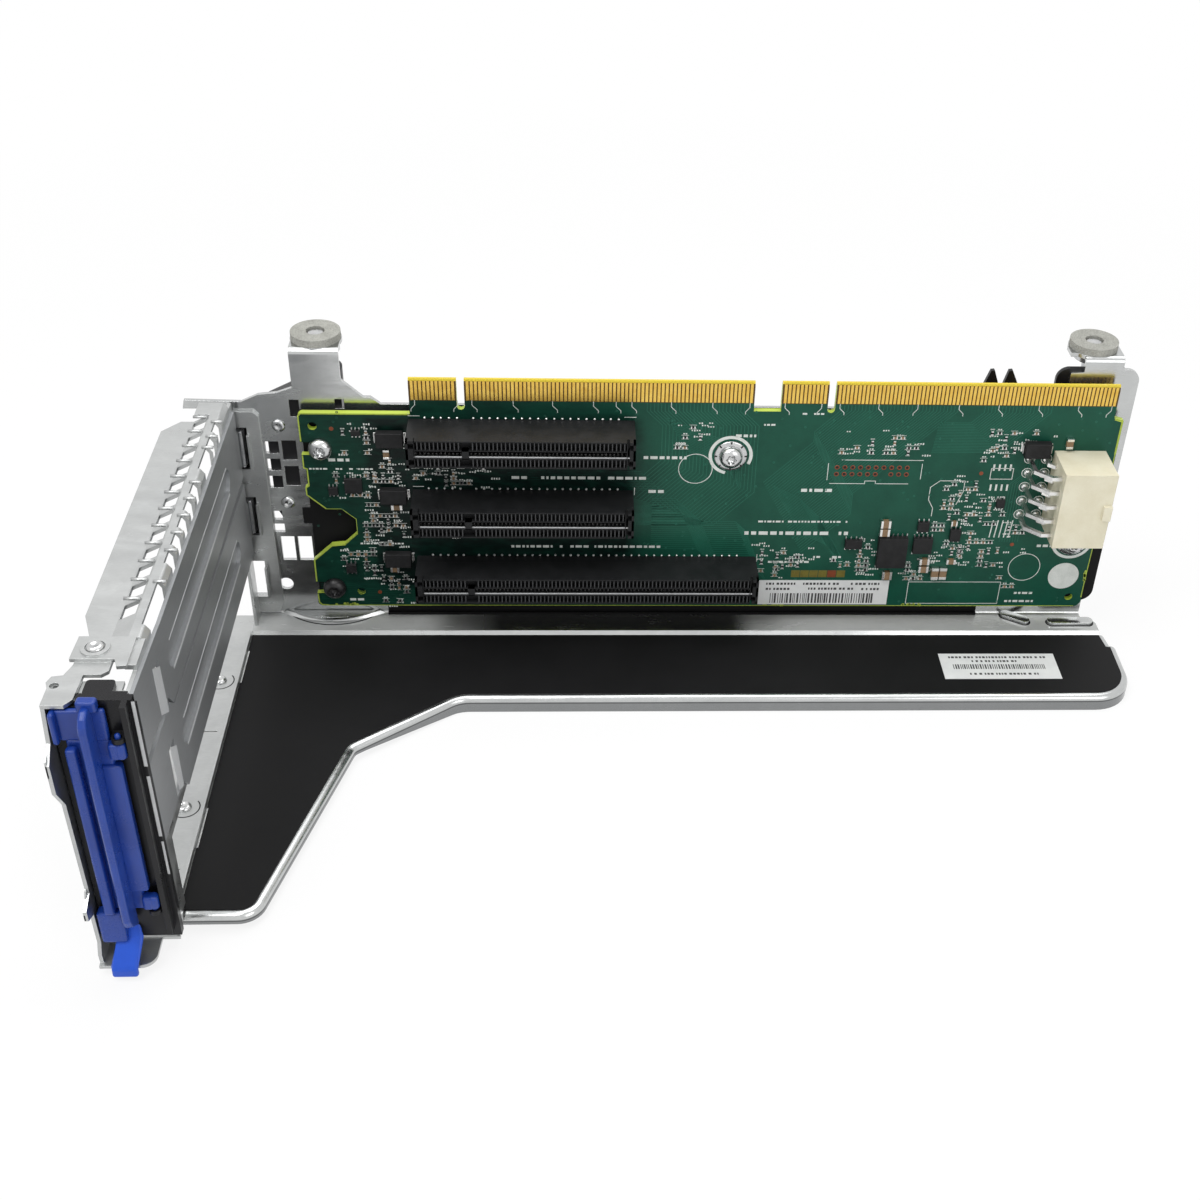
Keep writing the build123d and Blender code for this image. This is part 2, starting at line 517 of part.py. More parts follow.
with BuildPart() as rear_panel:
    # slot frame, standing on the strip at the wall and on the foot in the pocket
    box(PANEL_X - T2, PANEL_X, DECK_Y, PANEL_Y1, STRIP_Z, 2.2)
    box(PANEL_X - T2, PANEL_X, -110.8, DECK_Y, STRIP_Z, 2.2)
    box(PANEL_X - T2, PANEL_X, -110.8, -107.4, -64.0, STRIP_Z)
    for z0, z1 in OPENINGS:
        box(PANEL_X - 2, PANEL_X + 1, OPEN_Y0, OPEN_Y1, z0, z1, Mode.SUBTRACT)
    # top hat: section across the row of webs, then its windows
    with BuildSketch(face(STEP_Y)):
        Polygon((PANEL_X, 1.0), (PANEL_X, 2.6), (-48.3, HAT_Z), (-50.5, HAT_Z),
                (-54.6, HAT_FLANGE_Z), (-61.4, HAT_FLANGE_Z), (-61.4, HAT_FLANGE_Z - T2),
                (-54.3, HAT_FLANGE_Z - T2), (-50.3, RIM_Z), (-48.7, RIM_Z),
                (PANEL_X - T2, 2.3), (PANEL_X - T2, 1.0), align=None)
        round_corner((-48.3, HAT_Z), 0.7)
    extrude(amount=-96.3 - STEP_Y, dir=(0, 1, 0))
    with BuildSketch(face(STEP_Y)):
        Polygon((PANEL_X, 1.0), (PANEL_X, 2.6), (-48.3, HAT_Z), (-54.2, HAT_Z), (-54.2, RIM_Z),
                (-48.7, RIM_Z), (PANEL_X - T2, 2.3), (PANEL_X - T2, 1.0), align=None)
    extrude(amount=-0.6 - STEP_Y, dir=(0, 1, 0))
    with BuildSketch(deck(-1)):
        Polygon((-62.4, -5.0), (-57.6, STEP_Y), (-61.4, -11.4), (-62.4, -11.4), align=None)
        Polygon((-62.4, -86.5), (-61.4, -86.5), (-59.0, -93.4), (-59.0, -96.6), (-62.4, -96.6), align=None)
        with Locations(*[(-52.6, y) for y in ROW_1]):
            Rectangle(3.4, 4.9)
        for y, width in ROW_2:
            with Locations((-47.9, y)):
                Rectangle(1.9, width)
    extrude(amount=7, mode=Mode.SUBTRACT)
    # top plates over the pocket: the riveted one, and the lower one with the holed tab
    with BuildSketch(deck(RIM_Z)):
        Polygon((-60.0, -96.0), (-48.9, -96.0), (-48.9, -105.4), (-50.8, -105.6), (-51.6, -103.3),
                (-60.2, -103.3), align=None)
        with Locations(TOP_RIVET):
            RegularPolygon(1.1, ROUND, mode=Mode.SUBTRACT)
    extrude(amount=T2)
    with BuildSketch(deck(HAT_Z)):
        with Locations(TOP_RIVET):
            RegularPolygon(2.9, ROUND)
            RegularPolygon(2.0, ROUND, mode=Mode.SUBTRACT)
    extrude(amount=0.35)
    with BuildSketch(deck(RIM_Z - T2)):
        Polygon((-62.5, -116.6), (-58.2, -116.6), (-56.9, -114.8), (-56.7, -107.2), (-53.4, -107.2),
                (-52.2, -106.0), (-52.2, -101.0), (-59.0, -101.0), (-59.4, -104.4), (-60.4, -107.4),
                (-62.5, -107.8), (-63.1, -109.6), (-62.5, -111.4), align=None)
        with Locations((-61.3, -110.6)):
            RegularPolygon(0.9, ROUND, mode=Mode.SUBTRACT)
    extrude(amount=T2)
    box(PANEL_X - T2, PANEL_X, -104.6, -96.0, 1.0, 2.6)
    box(-49.6, PANEL_X, -104.6, -96.0, 2.4, RIM_Z + 0.3)
    # outer side of the pocket, with its stepped front edge and catch
    with BuildSketch(side(PANEL_OUT)):
        Polygon((-108.0, RIM_Z - T2), (-116.6, RIM_Z - T2), (-117.8, -5.0), (-121.0, -8.0),
                (-121.0, -15.0), (-117.8, -20.5), (-117.2, -45.4), (-121.0, -47.0), (-121.0, -49.6),
                (-117.8, -51.0), (-117.6, -59.4), (-118.8, -62.0), (-118.6, -65.2), (-111.5, -65.2),
                (-108.0, DECK_Z), align=None)
    extrude(amount=T2)
    # sheet behind the cover tabs
    box(PANEL_OUT, PANEL_X, -111.6, -110.8, -63.4, CAP_Z)
    box(PANEL_OUT, -48.9, -111.6, -108.0, 1.4, CAP_Z)
    for z0, z1 in ((-12.9, 1.4), (-33.7, -18.1), (-58.0, -38.9)):
        box(-58.5, -50.0, -112.0, -107.0, z0, z1 - 0.6, Mode.SUBTRACT)
    # foot flange with the tab under the latch
    with BuildSketch(side(PANEL_OUT)):
        Polygon(*FOOT, align=None)
    extrude(amount=PANEL_X - PANEL_OUT)
    box(WALL_L, PANEL_X + 1, -107.4, PANEL_Y1 + 1, -66, STRIP_Z, Mode.SUBTRACT)
    box(-51.0, PANEL_X + 1, -121, -111.6, -66, STRIP_Z, Mode.SUBTRACT)
    box(WALL_L - T2, WALL_L, -107.4, DECK_Y, DECK_Z + T2, DECK_Z + 1.6)
    fillet(rear_panel.edges().filter_by(Axis.Z).sort_by_distance(
        (DX - 51.0, DY - 119.7, DZ - 64.8))[0:1], 3.2)
    for y in (-46.0, -93.6):
        box(-55.5, -50.5, y - 0.2, y + 0.2, -64, STRIP_Z, Mode.SUBTRACT)
    with BuildSketch(deck(-64)):
        with Locations(*FOOT_RIVETS):
            RegularPolygon(1.1, ROUND)
    extrude(amount=2.5, mode=Mode.SUBTRACT)
    # flange on the wall, with a slot for each bracket tip
    with BuildSketch(face(WALL_Y)):
        Polygon((PANEL_X - T2, -60.9), (PANEL_X - T2, -0.3), (-42.4, -0.3), (-41.2, -1.6), (-40.7, -57.0),
                (-42.0, -60.9), align=None)
        for z0, z1 in TIP_SLOTS:
            with Locations((-46.0, (z0 + z1) / 2)):
                Rectangle(3.2, z1 - z0, mode=Mode.SUBTRACT)
    extrude(amount=WALL_Y - PANEL_Y1)
    for z0, z1 in TIP_SLOTS:
        box(-44.4, -43.8, 1.2, PANEL_Y1, z0 + 0.6, z1 - 1.6)
save(rear_panel.part, "rear_panel")

with BuildPart() as panel_rivets:
    with BuildSketch(deck(DECK_Z + T2)):
        with Locations(*FOOT_RIVETS):
            RegularPolygon(1.8, ROUND)
    extrude(amount=1.0, taper=25)
    with BuildSketch(deck(DECK_Z)):
        with Locations(*FOOT_RIVETS):
            RegularPolygon(1.1, ROUND)
    extrude(amount=T2)
    with BuildSketch(deck(HAT_Z)):
        with Locations(TOP_RIVET):
            RegularPolygon(1.7, ROUND)
    extrude(amount=0.6, taper=25)
    with BuildSketch(deck(HAT_Z - T2 - 0.4)):
        with Locations(TOP_RIVET):
            RegularPolygon(1.1, ROUND)
    extrude(amount=T2 + 0.4)
save(panel_rivets.part, "panel_rivets")

# Slot covers: plate with jogged front end, pressed rib, window, tip and retained tab
COVER_H, RIB_OUT = 20.0, 0.9
for label, top in (("slot_cover_upper", 1.3), ("slot_cover_lower", 1.3 - SLOT_PITCH - 0.4)):
    low = top - COVER_H if label == "slot_cover_upper" else -41.6
    with BuildPart() as cover:
        with BuildSketch(side(PANEL_X)):
            Polygon((1.0, top - 0.6), (1.0, low + 0.6), (-88.5, low), (-91.5, low + 3.8), (-112.5, low + 4.4),
                    (-112.5, top + (1.0 if top > 0 else 2.8)), (-91.0, top + (0.2 if top > 0 else 2.8)),
                    (-88.0, top), align=None)
            with Locations((-95.6, top - 11.1)):
                Rectangle(4.4, 12.5, mode=Mode.SUBTRACT)
        extrude(amount=T2)
        box(PANEL_X - 9.0, COVER_X, -112.5 - T2, -112.5, low + 5.4, top - 1.0)
        fillet(cover.edges().filter_by(Axis.Z).sort_by_distance(
            (DX + COVER_X, DY - 112.5 - T2, DZ + top - 10))[0:1], 0.7)
        box(COVER_X - T2, COVER_X, 1.0, 7.0, top - 17.0, top - 7.0)
        with BuildSketch(side(COVER_X - T2 - RIB_OUT)):
            with Locations((-49.6, top - 10.7)):
                RectangleRounded(75.2, 7.6, 3.6)
        extrude(amount=RIB_OUT)
        with BuildSketch(side(COVER_X - RIB_OUT)):
            with Locations((-49.6, top - 10.7)):
                RectangleRounded(73.8, 6.2, 3.0)
        extrude(amount=RIB_OUT + 1, mode=Mode.SUBTRACT)
    save(cover.part, label)

# Latch base: black plate with its top cap, the tall ridge and the two hinge eyes
with BuildPart() as latch_base:
    box(-61.5, -45.6, BASE_Y, -113.4, -60.0, 1.8)
    box(-55.6, -50.1, BASE_Y, -109.0, CAP_Z, 3.4)
    fillet(latch_base.edges().filter_by(Axis.Z).group_by(Axis.Y)[-1], 0.8)
    box(-56.4, -46.0, BASE_Y, -113.4, 1.8, 3.4)
    box(-50.1, -47.2, BASE_Y, -112.5, CAP_Z, 3.4)
    box(-47.8, -46.7, -117.6, BASE_Y, -57.5, 3.4)
    for z0, z1 in ((-5.1, -4.1), (-51.0, -50.0)):
        box(HINGE_X - EYE_R, HINGE_X + EYE_R, HINGE_Y, BASE_Y, z0, z1)
        with BuildSketch(deck(z0)):
            with Locations((HINGE_X, HINGE_Y)):
                Circle(EYE_R)
        extrude(amount=z1 - z0)
        with BuildSketch(deck(z0 - 1)):
            with Locations((HINGE_X, HINGE_Y)):
                Circle(PIN_R + PIN_CLEAR)
        extrude(amount=3, mode=Mode.SUBTRACT)
save(latch_base.part, "latch_base")

# Retainer latch: blue moulding that swings out on two stub pins
LATCH_BACK, LATCH_FACE = -115.4, -116.8
with BuildPart() as retainer_latch:
    box(-60.3, -51.0, LATCH_FACE, LATCH_BACK, -50.6, 2.0)
    box(-53.7, -49.7, LATCH_FACE - 0.7, LATCH_BACK, -45.0, -11.2)
    box(-61.2, -60.0, -118.2, LATCH_BACK, -5.4, 2.0)
    box(-55.8, -52.0, -117.6, LATCH_BACK, 2.0, 4.6)
    box(-59.3, -57.1, -118.7, LATCH_FACE, -50.6, -6.2)
    box(-61.2, -56.0, -118.2, LATCH_BACK, -59.2, -50.6)
    with BuildSketch(side(-55.0)):
        Polygon((LATCH_FACE + 0.4, 3.4), (-121.6, 3.4), (-121.6, -52.0), (LATCH_FACE + 0.4, -55.5), align=None)
        round_corner((-121.6, 3.4), 3.5)
        round_corner((-121.6, -52.0), 2.5)
    extrude(amount=1.7)
    for z0, z1, pin0, pin1 in ((-9.2, -5.4, -9.2, -3.2), (-49.7, -46.2, -51.9, -46.2)):
        box(-51.4, HINGE_X, HINGE_Y - 1.2, HINGE_Y + 1.2, z0, z1)
        with BuildSketch(deck(z0)):
            with Locations((HINGE_X, HINGE_Y)):
                Circle(1.2)
        extrude(amount=z1 - z0)
        with BuildSketch(deck(pin0)):
            with Locations((HINGE_X, HINGE_Y)):
                Circle(PIN_R)
        extrude(amount=pin1 - pin0)
    with BuildSketch(side(-60.2)):
        Polygon((LATCH_BACK, -56.0), (-117.0, -58.6), (-121.6, -63.7), (-121.6, -66.1), (-120.1, -66.1),
                (-120.0, -64.0), (LATCH_BACK, -60.4), align=None)
    extrude(amount=7.2)
    with BuildSketch(deck(-67)):
        Polygon((-61.2, -115.3), (-58.4, -115.3), (-59.7, -121.8), (-61.2, -121.8), align=None)
        Polygon((-52.9, -115.3), (-52.9, -121.8), (-54.4, -121.8), (-53.1, -115.3), align=None)
    extrude(amount=7.7, mode=Mode.SUBTRACT)
save(retainer_latch.part, "retainer_latch")
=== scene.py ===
"""Riser cage of a server with its board, dressed and lit as in the photograph.

Places are written in millimetres from a datum on the board: its front face, at the first pin of
the upper slot, x along the board, y away from the viewer and z up. The helper at() turns them
into the frame's metres.
"""
import logging
import math
import random
from collections.abc import Callable
from dataclasses import dataclass
from enum import Enum
from typing import ClassVar

import bmesh
import bpy
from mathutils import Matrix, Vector


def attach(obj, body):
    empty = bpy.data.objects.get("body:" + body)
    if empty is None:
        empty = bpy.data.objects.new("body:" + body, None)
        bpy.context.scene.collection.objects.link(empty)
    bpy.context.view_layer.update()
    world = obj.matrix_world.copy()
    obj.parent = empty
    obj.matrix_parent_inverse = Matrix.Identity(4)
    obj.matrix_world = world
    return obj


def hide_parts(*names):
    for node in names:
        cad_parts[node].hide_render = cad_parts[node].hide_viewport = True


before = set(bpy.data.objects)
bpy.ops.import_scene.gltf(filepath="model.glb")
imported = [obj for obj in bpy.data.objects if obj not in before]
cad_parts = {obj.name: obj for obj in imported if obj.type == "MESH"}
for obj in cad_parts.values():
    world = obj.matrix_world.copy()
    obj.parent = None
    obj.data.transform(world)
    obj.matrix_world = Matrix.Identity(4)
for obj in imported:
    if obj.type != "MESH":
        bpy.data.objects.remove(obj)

Colour = tuple[float, float, float]
Point = tuple[float, float, float]
Spot = tuple[float, float]
Field = tuple[float, float, float, float]
Socket = bpy.types.NodeSocket
Material = bpy.types.Material

LOG = logging.getLogger("riser")
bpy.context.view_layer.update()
PER_METRE = 1000

# The datum in metres of the frame, and in millimetres from it: the second card edge's right end,
# the steps from slot to slot and from contact to contact, the depth of what is printed on the
# board's face, and the tops of the strip at the wall's foot and of the rear panel's flange
DATUM = (-0.0607, 0.0524, 0.0674)
EDGE_END = 173.65
SLOT_PITCH = 20.32
CONTACT_PITCH = 1.0
ON_FACE = -0.01
FOOT = -61.9
FLANGE = -62.2

# A reach in metres past every side of the object, and the sockets of a Mix node for colours
ALL_OVER = 1.0
MIX_INPUTS = (0, 6, 7)
MIX_RESULT = 2


def at(x: float, y: float, z: float) -> Point:
    """Turn a place in millimetres from the datum into metres of the frame."""
    return (DATUM[0] + x / PER_METRE, DATUM[1] + y / PER_METRE, DATUM[2] + z / PER_METRE)


def arc(middle: Spot, radius: float, start: float, sweep: float, steps: int) -> list[Spot]:
    """Points of an arc.

    Args:
        middle: its centre.
        radius: its radius.
        start: angle of its first point, in degrees.
        sweep: angle from its first point to its last.
        steps: number of straight lines that stand for it.

    Returns:
        The points.
    """
    angles = [math.radians(start + sweep * i / steps) for i in range(steps + 1)]
    return [(middle[0] + radius * math.cos(a), middle[1] + radius * math.sin(a)) for a in angles]


# x from and to and z from and to, of places on the board's face that small parts leave free
KEEP_FREE = (
    (-32.0, -18.2, -38.4, -25.8), (-32.0, -25.2, -43.4, -21.6), (-31.0, -22.4, -12.8, -5.0),
    (-31.0, -22.4, -55.2, -47.2), (-4.0, 52.0, -7.8, -0.3), (-4.0, 52.0, -28.1, -20.6),
    (-4.0, 85.0, -48.4, -41.0), (86.4, 122.1, -56.6, -48.3), (127.0, 152.7, -56.4, -48.8),
    (154.0, 162.3, -48.3, -39.9), (164.9, 176.0, -51.5, -30.0), (159.8, 174.0, -30.0, -7.8),
    (152.6, 160.0, -28.9, -9.0), (71.0, 82.2, -15.8, -4.5), (63.4, 72.2, -18.5, -9.7),
    (101.6, 126.5, -18.4, -11.0), (94.4, 110.4, -48.0, -44.8), (-32.0, -13.9, -1.5, 1.2),
    (-21.0, -17.9, -53.8, -50.8), (-24.5, -21.7, -4.7, -1.9), (-16.0, -13.2, -54.0, -51.2),
    (140.5, 143.3, -16.3, -13.5), (152.2, 155.0, -38.2, -35.4), (143.6, 151.0, -20.6, -10.6),
    (84.0, 110.5, -34.8, -28.6), (-30.0, -13.6, -15.6, -11.2))


def blocked(x: float, z: float, room: float) -> bool:
    """Tell whether a place lies within some room of the board's places that stay free."""
    return any(a - room < x < b + room and c - room < z < d + room for a, b, c, d in KEEP_FREE)


class Graph:
    """Short way to add and link nodes in a shader or geometry tree."""

    def __init__(self, tree: bpy.types.NodeTree) -> None:
        """Work on the given tree."""
        self.tree = tree

    def add(self, kind: str, inputs: dict | None = None, **settings: object) -> bpy.types.Node:
        """Add a node.

        Args:
            kind: the node's type.
            inputs: its inputs by name or number, each a value or a socket to link from.
            settings: its properties.

        Returns:
            The new node.
        """
        node = self.tree.nodes.new(kind)
        for name, value in settings.items():
            setattr(node, name, value)
        for key, value in (inputs or {}).items():
            if isinstance(value, Socket):
                self.tree.links.new(value, node.inputs[key])
            else:
                node.inputs[key].default_value = value
        return node

    def out(self, kind: str, inputs: dict | None = None, **settings: object) -> Socket:
        """Add a node and return its first output."""
        return self.add(kind, inputs, **settings).outputs[0]

    def link(self, source: Socket, target: Socket) -> None:
        """Link two sockets."""
        self.tree.links.new(source, target)

    def mix(self, factor: object, first: object, second: object) -> Socket:
        """Mix two colours.

        Args:
            factor: share of the second one, a value or a socket.
            first: the first one, a colour or a socket.
            second: the second one.

        Returns:
            The mixed colour's socket.
        """
        node = self.add("ShaderNodeMix", data_type="RGBA")
        for index, value in zip(MIX_INPUTS, (factor, first, second)):
            if isinstance(value, Socket):
                self.link(value, node.inputs[index])
            else:
                node.inputs[index].default_value = (*value[:3], 1.0) if index else value
        return node.outputs[MIX_RESULT]

    def math(self, operation: str, *values: object) -> Socket:
        """Add a Math node on the given values or sockets and return its result."""
        return self.out("ShaderNodeMath", dict(enumerate(values)), operation=operation)

    def ramp(self, value: Socket, low: float, high: float, first: object = 0.0,
             last: object = 1.0) -> Socket:
        """Carry a value from one range to another, and hold it at the new range's ends."""
        return self.out("ShaderNodeMapRange", {"Value": value, "From Min": low, "From Max": high,
                                               "To Min": first, "To Max": last})

    def band(self, value: Socket, low: float, high: float, soft: float) -> Socket:
        """Mask that is 1 between two values and fades over a soft margin outside them."""
        return self.math("MULTIPLY", self.ramp(value, low - soft, low),
                         self.ramp(value, high, high + soft, 1.0, 0.0))

    def place(self) -> Socket:
        """Return the socket of the place on the object."""
        return self.add("ShaderNodeTexCoord").outputs["Object"]

    def axes(self, vector: Socket) -> bpy.types.NodeOutputs:
        """Split a vector and return its three sockets."""
        return self.add("ShaderNodeSeparateXYZ", {0: vector}).outputs

    def vector(self, *axes: object) -> Socket:
        """Join up to three values or sockets to a vector and return its socket."""
        return self.out("ShaderNodeCombineXYZ", dict(enumerate(axes)))


def socket_kind(name: str, value: object) -> str:
    """Find the type of a group's socket.

    Args:
        name: the socket's name.
        value: its default, or None for geometry and a material.

    Returns:
        The type's name.
    """
    if value is None:
        return "NodeSocketGeometry" if name == "Geometry" else "NodeSocketMaterial"
    if isinstance(value, tuple):
        return "NodeSocketColor" if len(value) == 4 else "NodeSocketVector"
    return "NodeSocketInt" if isinstance(value, int) else "NodeSocketFloat"


def make_tree(name: str, kind: str, takes: dict[str, object], gives: dict[str, object]) -> Graph:
    """Start a node group with named inputs and outputs.

    Args:
        name: the group's name.
        kind: ShaderNodeTree or GeometryNodeTree.
        takes: defaults of its inputs, by name.
        gives: values that show the types of its outputs, by name.

    Returns:
        A graph on the group, with its source and sink nodes as attributes.
    """
    tree = bpy.data.node_groups.new(name, kind)
    for way, sockets in (("INPUT", takes), ("OUTPUT", gives)):
        for label, value in sockets.items():
            made = tree.interface.new_socket(label, in_out=way,
                                             socket_type=socket_kind(label, value))
            if way == "INPUT" and value is not None:
                made.default_value = value
    graph = Graph(tree)
    graph.source = graph.add("NodeGroupInput").outputs
    graph.sink = graph.add("NodeGroupOutput").inputs
    return graph


def variation_group() -> bpy.types.NodeTree:
    """Make the shader group that varies colour, roughness and height over a surface.

    Returns:
        The node group.
    """
    graph = make_tree("surface_variation", "ShaderNodeTree", {
        "Main": (0.5, 0.5, 0.5, 1), "Other": (0.4, 0.4, 0.4, 1), "Patch Scale": 60.0,
        "Grain Scale": 2500.0, "Stretch": (1, 1, 1), "Grain Share": 0.3, "Rough Low": 0.3,
        "Rough High": 0.5}, {"Color": (0, 0, 0, 1), "Roughness": 0.0, "Height": 0.0})
    source, sink, place = graph.source, graph.sink, graph.place()
    drawn = graph.out("ShaderNodeMapping", {"Vector": place, "Scale": source["Stretch"]})
    patch = graph.out("ShaderNodeTexNoise", {"Vector": place, "Scale": source["Patch Scale"],
                                             "Detail": 4.0, "Roughness": 0.6})
    grain = graph.out("ShaderNodeTexNoise", {"Vector": drawn, "Scale": source["Grain Scale"],
                                             "Detail": 3.0, "Roughness": 0.55})
    share = graph.out("ShaderNodeMix", {0: source["Grain Share"], 2: graph.ramp(patch, 0.36, 0.66),
                                        3: graph.ramp(grain, 0.3, 0.7)})
    graph.link(graph.mix(share, source["Main"], source["Other"]), sink["Color"])
    rough = graph.ramp(share, 0.0, 1.0, source["Rough Low"], source["Rough High"])
    graph.link(rough, sink["Roughness"])
    graph.link(grain, sink["Height"])
    return graph.tree


def left_tone_and_slot_shadow(graph: Graph) -> Socket:
    """Mask of the darker left part of the board and of the painted shadow on the strips between
    its slots.

    Args:
        graph: the material's graph.

    Returns:
        The mask's socket.
    """
    place = graph.axes(graph.place())
    left = graph.band(place[0], -ALL_OVER, at(20, 0, 0)[0], 0.045)
    across = graph.band(place[0], at(-14, 0, 0)[0], at(50, 0, 0)[0], 0.006)
    high = graph.band(place[2], at(0, 0, -50)[2], at(0, 0, -1)[2], 0.004)
    # Painted shadow that the slots cast on the strips between them
    between = graph.math("MULTIPLY", across, high)
    cloud = graph.out("ShaderNodeTexNoise", {"Scale": 45.0, "Detail": 2.0})
    most = graph.math("MAXIMUM", graph.math("MULTIPLY", left, 0.62),
                      graph.math("MULTIPLY", between, 0.95))
    return graph.math("MULTIPLY", most, graph.math("ADD", cloud, 0.5))


@dataclass(frozen=True)
class Finish:
    """Finish of one material of the object.

    The colour varies between main and other, in patches and in a finer grain, and so does the
    roughness. Stretch draws the grain out, share is the grain's part in the variation, bump and
    reach give the relief, edge rounds the shading of sharp edges and spec is the specular level.
    """

    name: str
    main: Colour
    other: Colour
    rough: Spot
    metallic: float = 0.0
    patch: float = 60.0
    grain: float = 2500.0
    stretch: Point = (1.0, 1.0, 1.0)
    share: float = 0.3
    bump: float = 0.15
    reach: float = 0.00005
    edge: float = 0.0
    spec: float = 0.5

    def build(self, variation: bpy.types.NodeTree) -> Material:
        """Make the material.

        Args:
            variation: the shared group that varies a surface.

        Returns:
            The material.
        """
        material = bpy.data.materials.new(self.name)
        material.use_nodes = True
        graph = Graph(material.node_tree)
        shader = material.node_tree.nodes["Principled BSDF"].inputs
        shader["Metallic"].default_value = self.metallic
        shader["Specular IOR Level"].default_value = self.spec
        surface = graph.add("ShaderNodeGroup", node_tree=variation)
        for label, value in (
                ("Main", (*self.main, 1)), ("Other", (*self.other, 1)), ("Stretch", self.stretch),
                ("Patch Scale", self.patch), ("Grain Scale", self.grain),
                ("Grain Share", self.share), ("Rough Low", self.rough[0]),
                ("Rough High", self.rough[1])):
            surface.inputs[label].default_value = value
        graph.link(self.colour(graph, surface.outputs["Color"]), shader["Base Color"])
        graph.link(self.roughness(graph, surface.outputs["Roughness"]), shader["Roughness"])
        metal = self.metal(graph)
        if metal:
            graph.link(metal, shader["Metallic"])
        relief = graph.add("ShaderNodeBump", {"Height": surface.outputs["Height"],
                                              "Strength": self.bump, "Distance": self.reach})
        if self.edge:
            rounded = graph.out("ShaderNodeBevel", {"Radius": self.edge}, samples=4)
            graph.link(rounded, relief.inputs["Normal"])
        graph.link(relief.outputs[0], shader["Normal"])
        return material

    def colour(self, graph: Graph, base: Socket) -> Socket:
        """Return the colour's socket, here the varied colour as it is."""
        return base

    def roughness(self, graph: Graph, base: Socket) -> Socket:
        """Return the roughness's socket, here the varied roughness as it is."""
        return base

    def metal(self, graph: Graph) -> Socket | None:
        """Return the metallic share's socket, or None where it is the same all over."""
        return None


class ZincSheet(Finish):
    """Zinc-coated steel with faint crystals and handling smears."""

    def colour(self, graph: Graph, base: Socket) -> Socket:
        """Add faint zinc crystals.

        Args:
            graph: the material's graph.
            base: the varied colour.

        Returns:
            The colour's socket.
        """
        crystal = graph.add("ShaderNodeTexVoronoi", {"Vector": graph.place(), "Scale": 420.0})
        tone = graph.out("ShaderNodeSeparateColor", {0: crystal.outputs["Color"]})
        return graph.mix(graph.math("MULTIPLY", tone, 0.22), base,
                         tuple(c * 0.72 for c in self.main))

    def roughness(self, graph: Graph, base: Socket) -> Socket:
        """Add smeared streaks.

        Args:
            graph: the material's graph.
            base: the varied roughness.

        Returns:
            The roughness's socket.
        """
        drawn = graph.out("ShaderNodeMapping", {"Vector": graph.place(), "Scale": (0.25, 1, 1)})
        smear = graph.out("ShaderNodeTexNoise", {"Vector": drawn, "Scale": 220.0, "Detail": 5.0,
                                                 "Distortion": 0.8})
        return graph.math("ADD", base, graph.ramp(smear, 0.35, 0.7, -0.06, 0.1))


class CageSheet(ZincSheet):
    """The same sheet, with painted shade on its turned-down lip and a painted dark line above it,
    and less of a mirror at the foot's ends.
    """

    # Colours of the painted shade on the lip and of the painted dark line above it, and where they
    # lie
    shade: ClassVar[Colour] = (0.13, 0.135, 0.14)
    shade_line: ClassVar[Colour] = (0.05, 0.052, 0.055)
    lip_top: ClassVar[float] = -65.0
    shade_line_range: ClassVar[Spot] = (-64.75, -64.45)
    bright_range: ClassVar[Spot] = (2.0, 86.0)

    def colour(self, graph: Graph, base: Socket) -> Socket:
        """Paint shade on the turned-down lip below its bright bend, and a dark line of painted
        shade just above the lip.

        Args:
            graph: the material's graph.
            base: the varied colour.

        Returns:
            The colour's socket.
        """
        z = graph.axes(graph.place())[2]
        # Painted shade: the lip below the bright bend is darker, with a painted dark line just
        # above it
        low = graph.band(z, -ALL_OVER, at(0, 0, self.lip_top)[2], 0.0008)
        shade_line = graph.band(z, *(at(0, 0, end)[2] for end in self.shade_line_range), 0.00015)
        painted_dark = graph.mix(graph.math("MULTIPLY", low, 0.7), super().colour(graph, base), self.shade)
        return graph.mix(graph.math("MULTIPLY", shade_line, 0.8), painted_dark, self.shade_line)

    def metal(self, graph: Graph) -> Socket:
        """Make both ends of the strip at the wall's foot less of a mirror.

        Args:
            graph: the material's graph.

        Returns:
            The metallic share's socket.
        """
        place = graph.axes(graph.place())
        strip = graph.band(place[2], at(0, 0, FOOT - 0.1)[2], at(0, 0, FOOT + 0.1)[2], 0.00005)
        from_x, to_x = (at(end, 0, 0)[0] for end in self.bright_range)
        right = graph.band(place[0], to_x, ALL_OVER, 0.006)
        left = graph.band(place[0], -ALL_OVER, from_x, 0.015)
        ends = graph.math("MULTIPLY", strip, graph.math("MAXIMUM", left, right))
        return graph.math("SUBTRACT", self.metallic, graph.math("MULTIPLY", ends, 0.75))


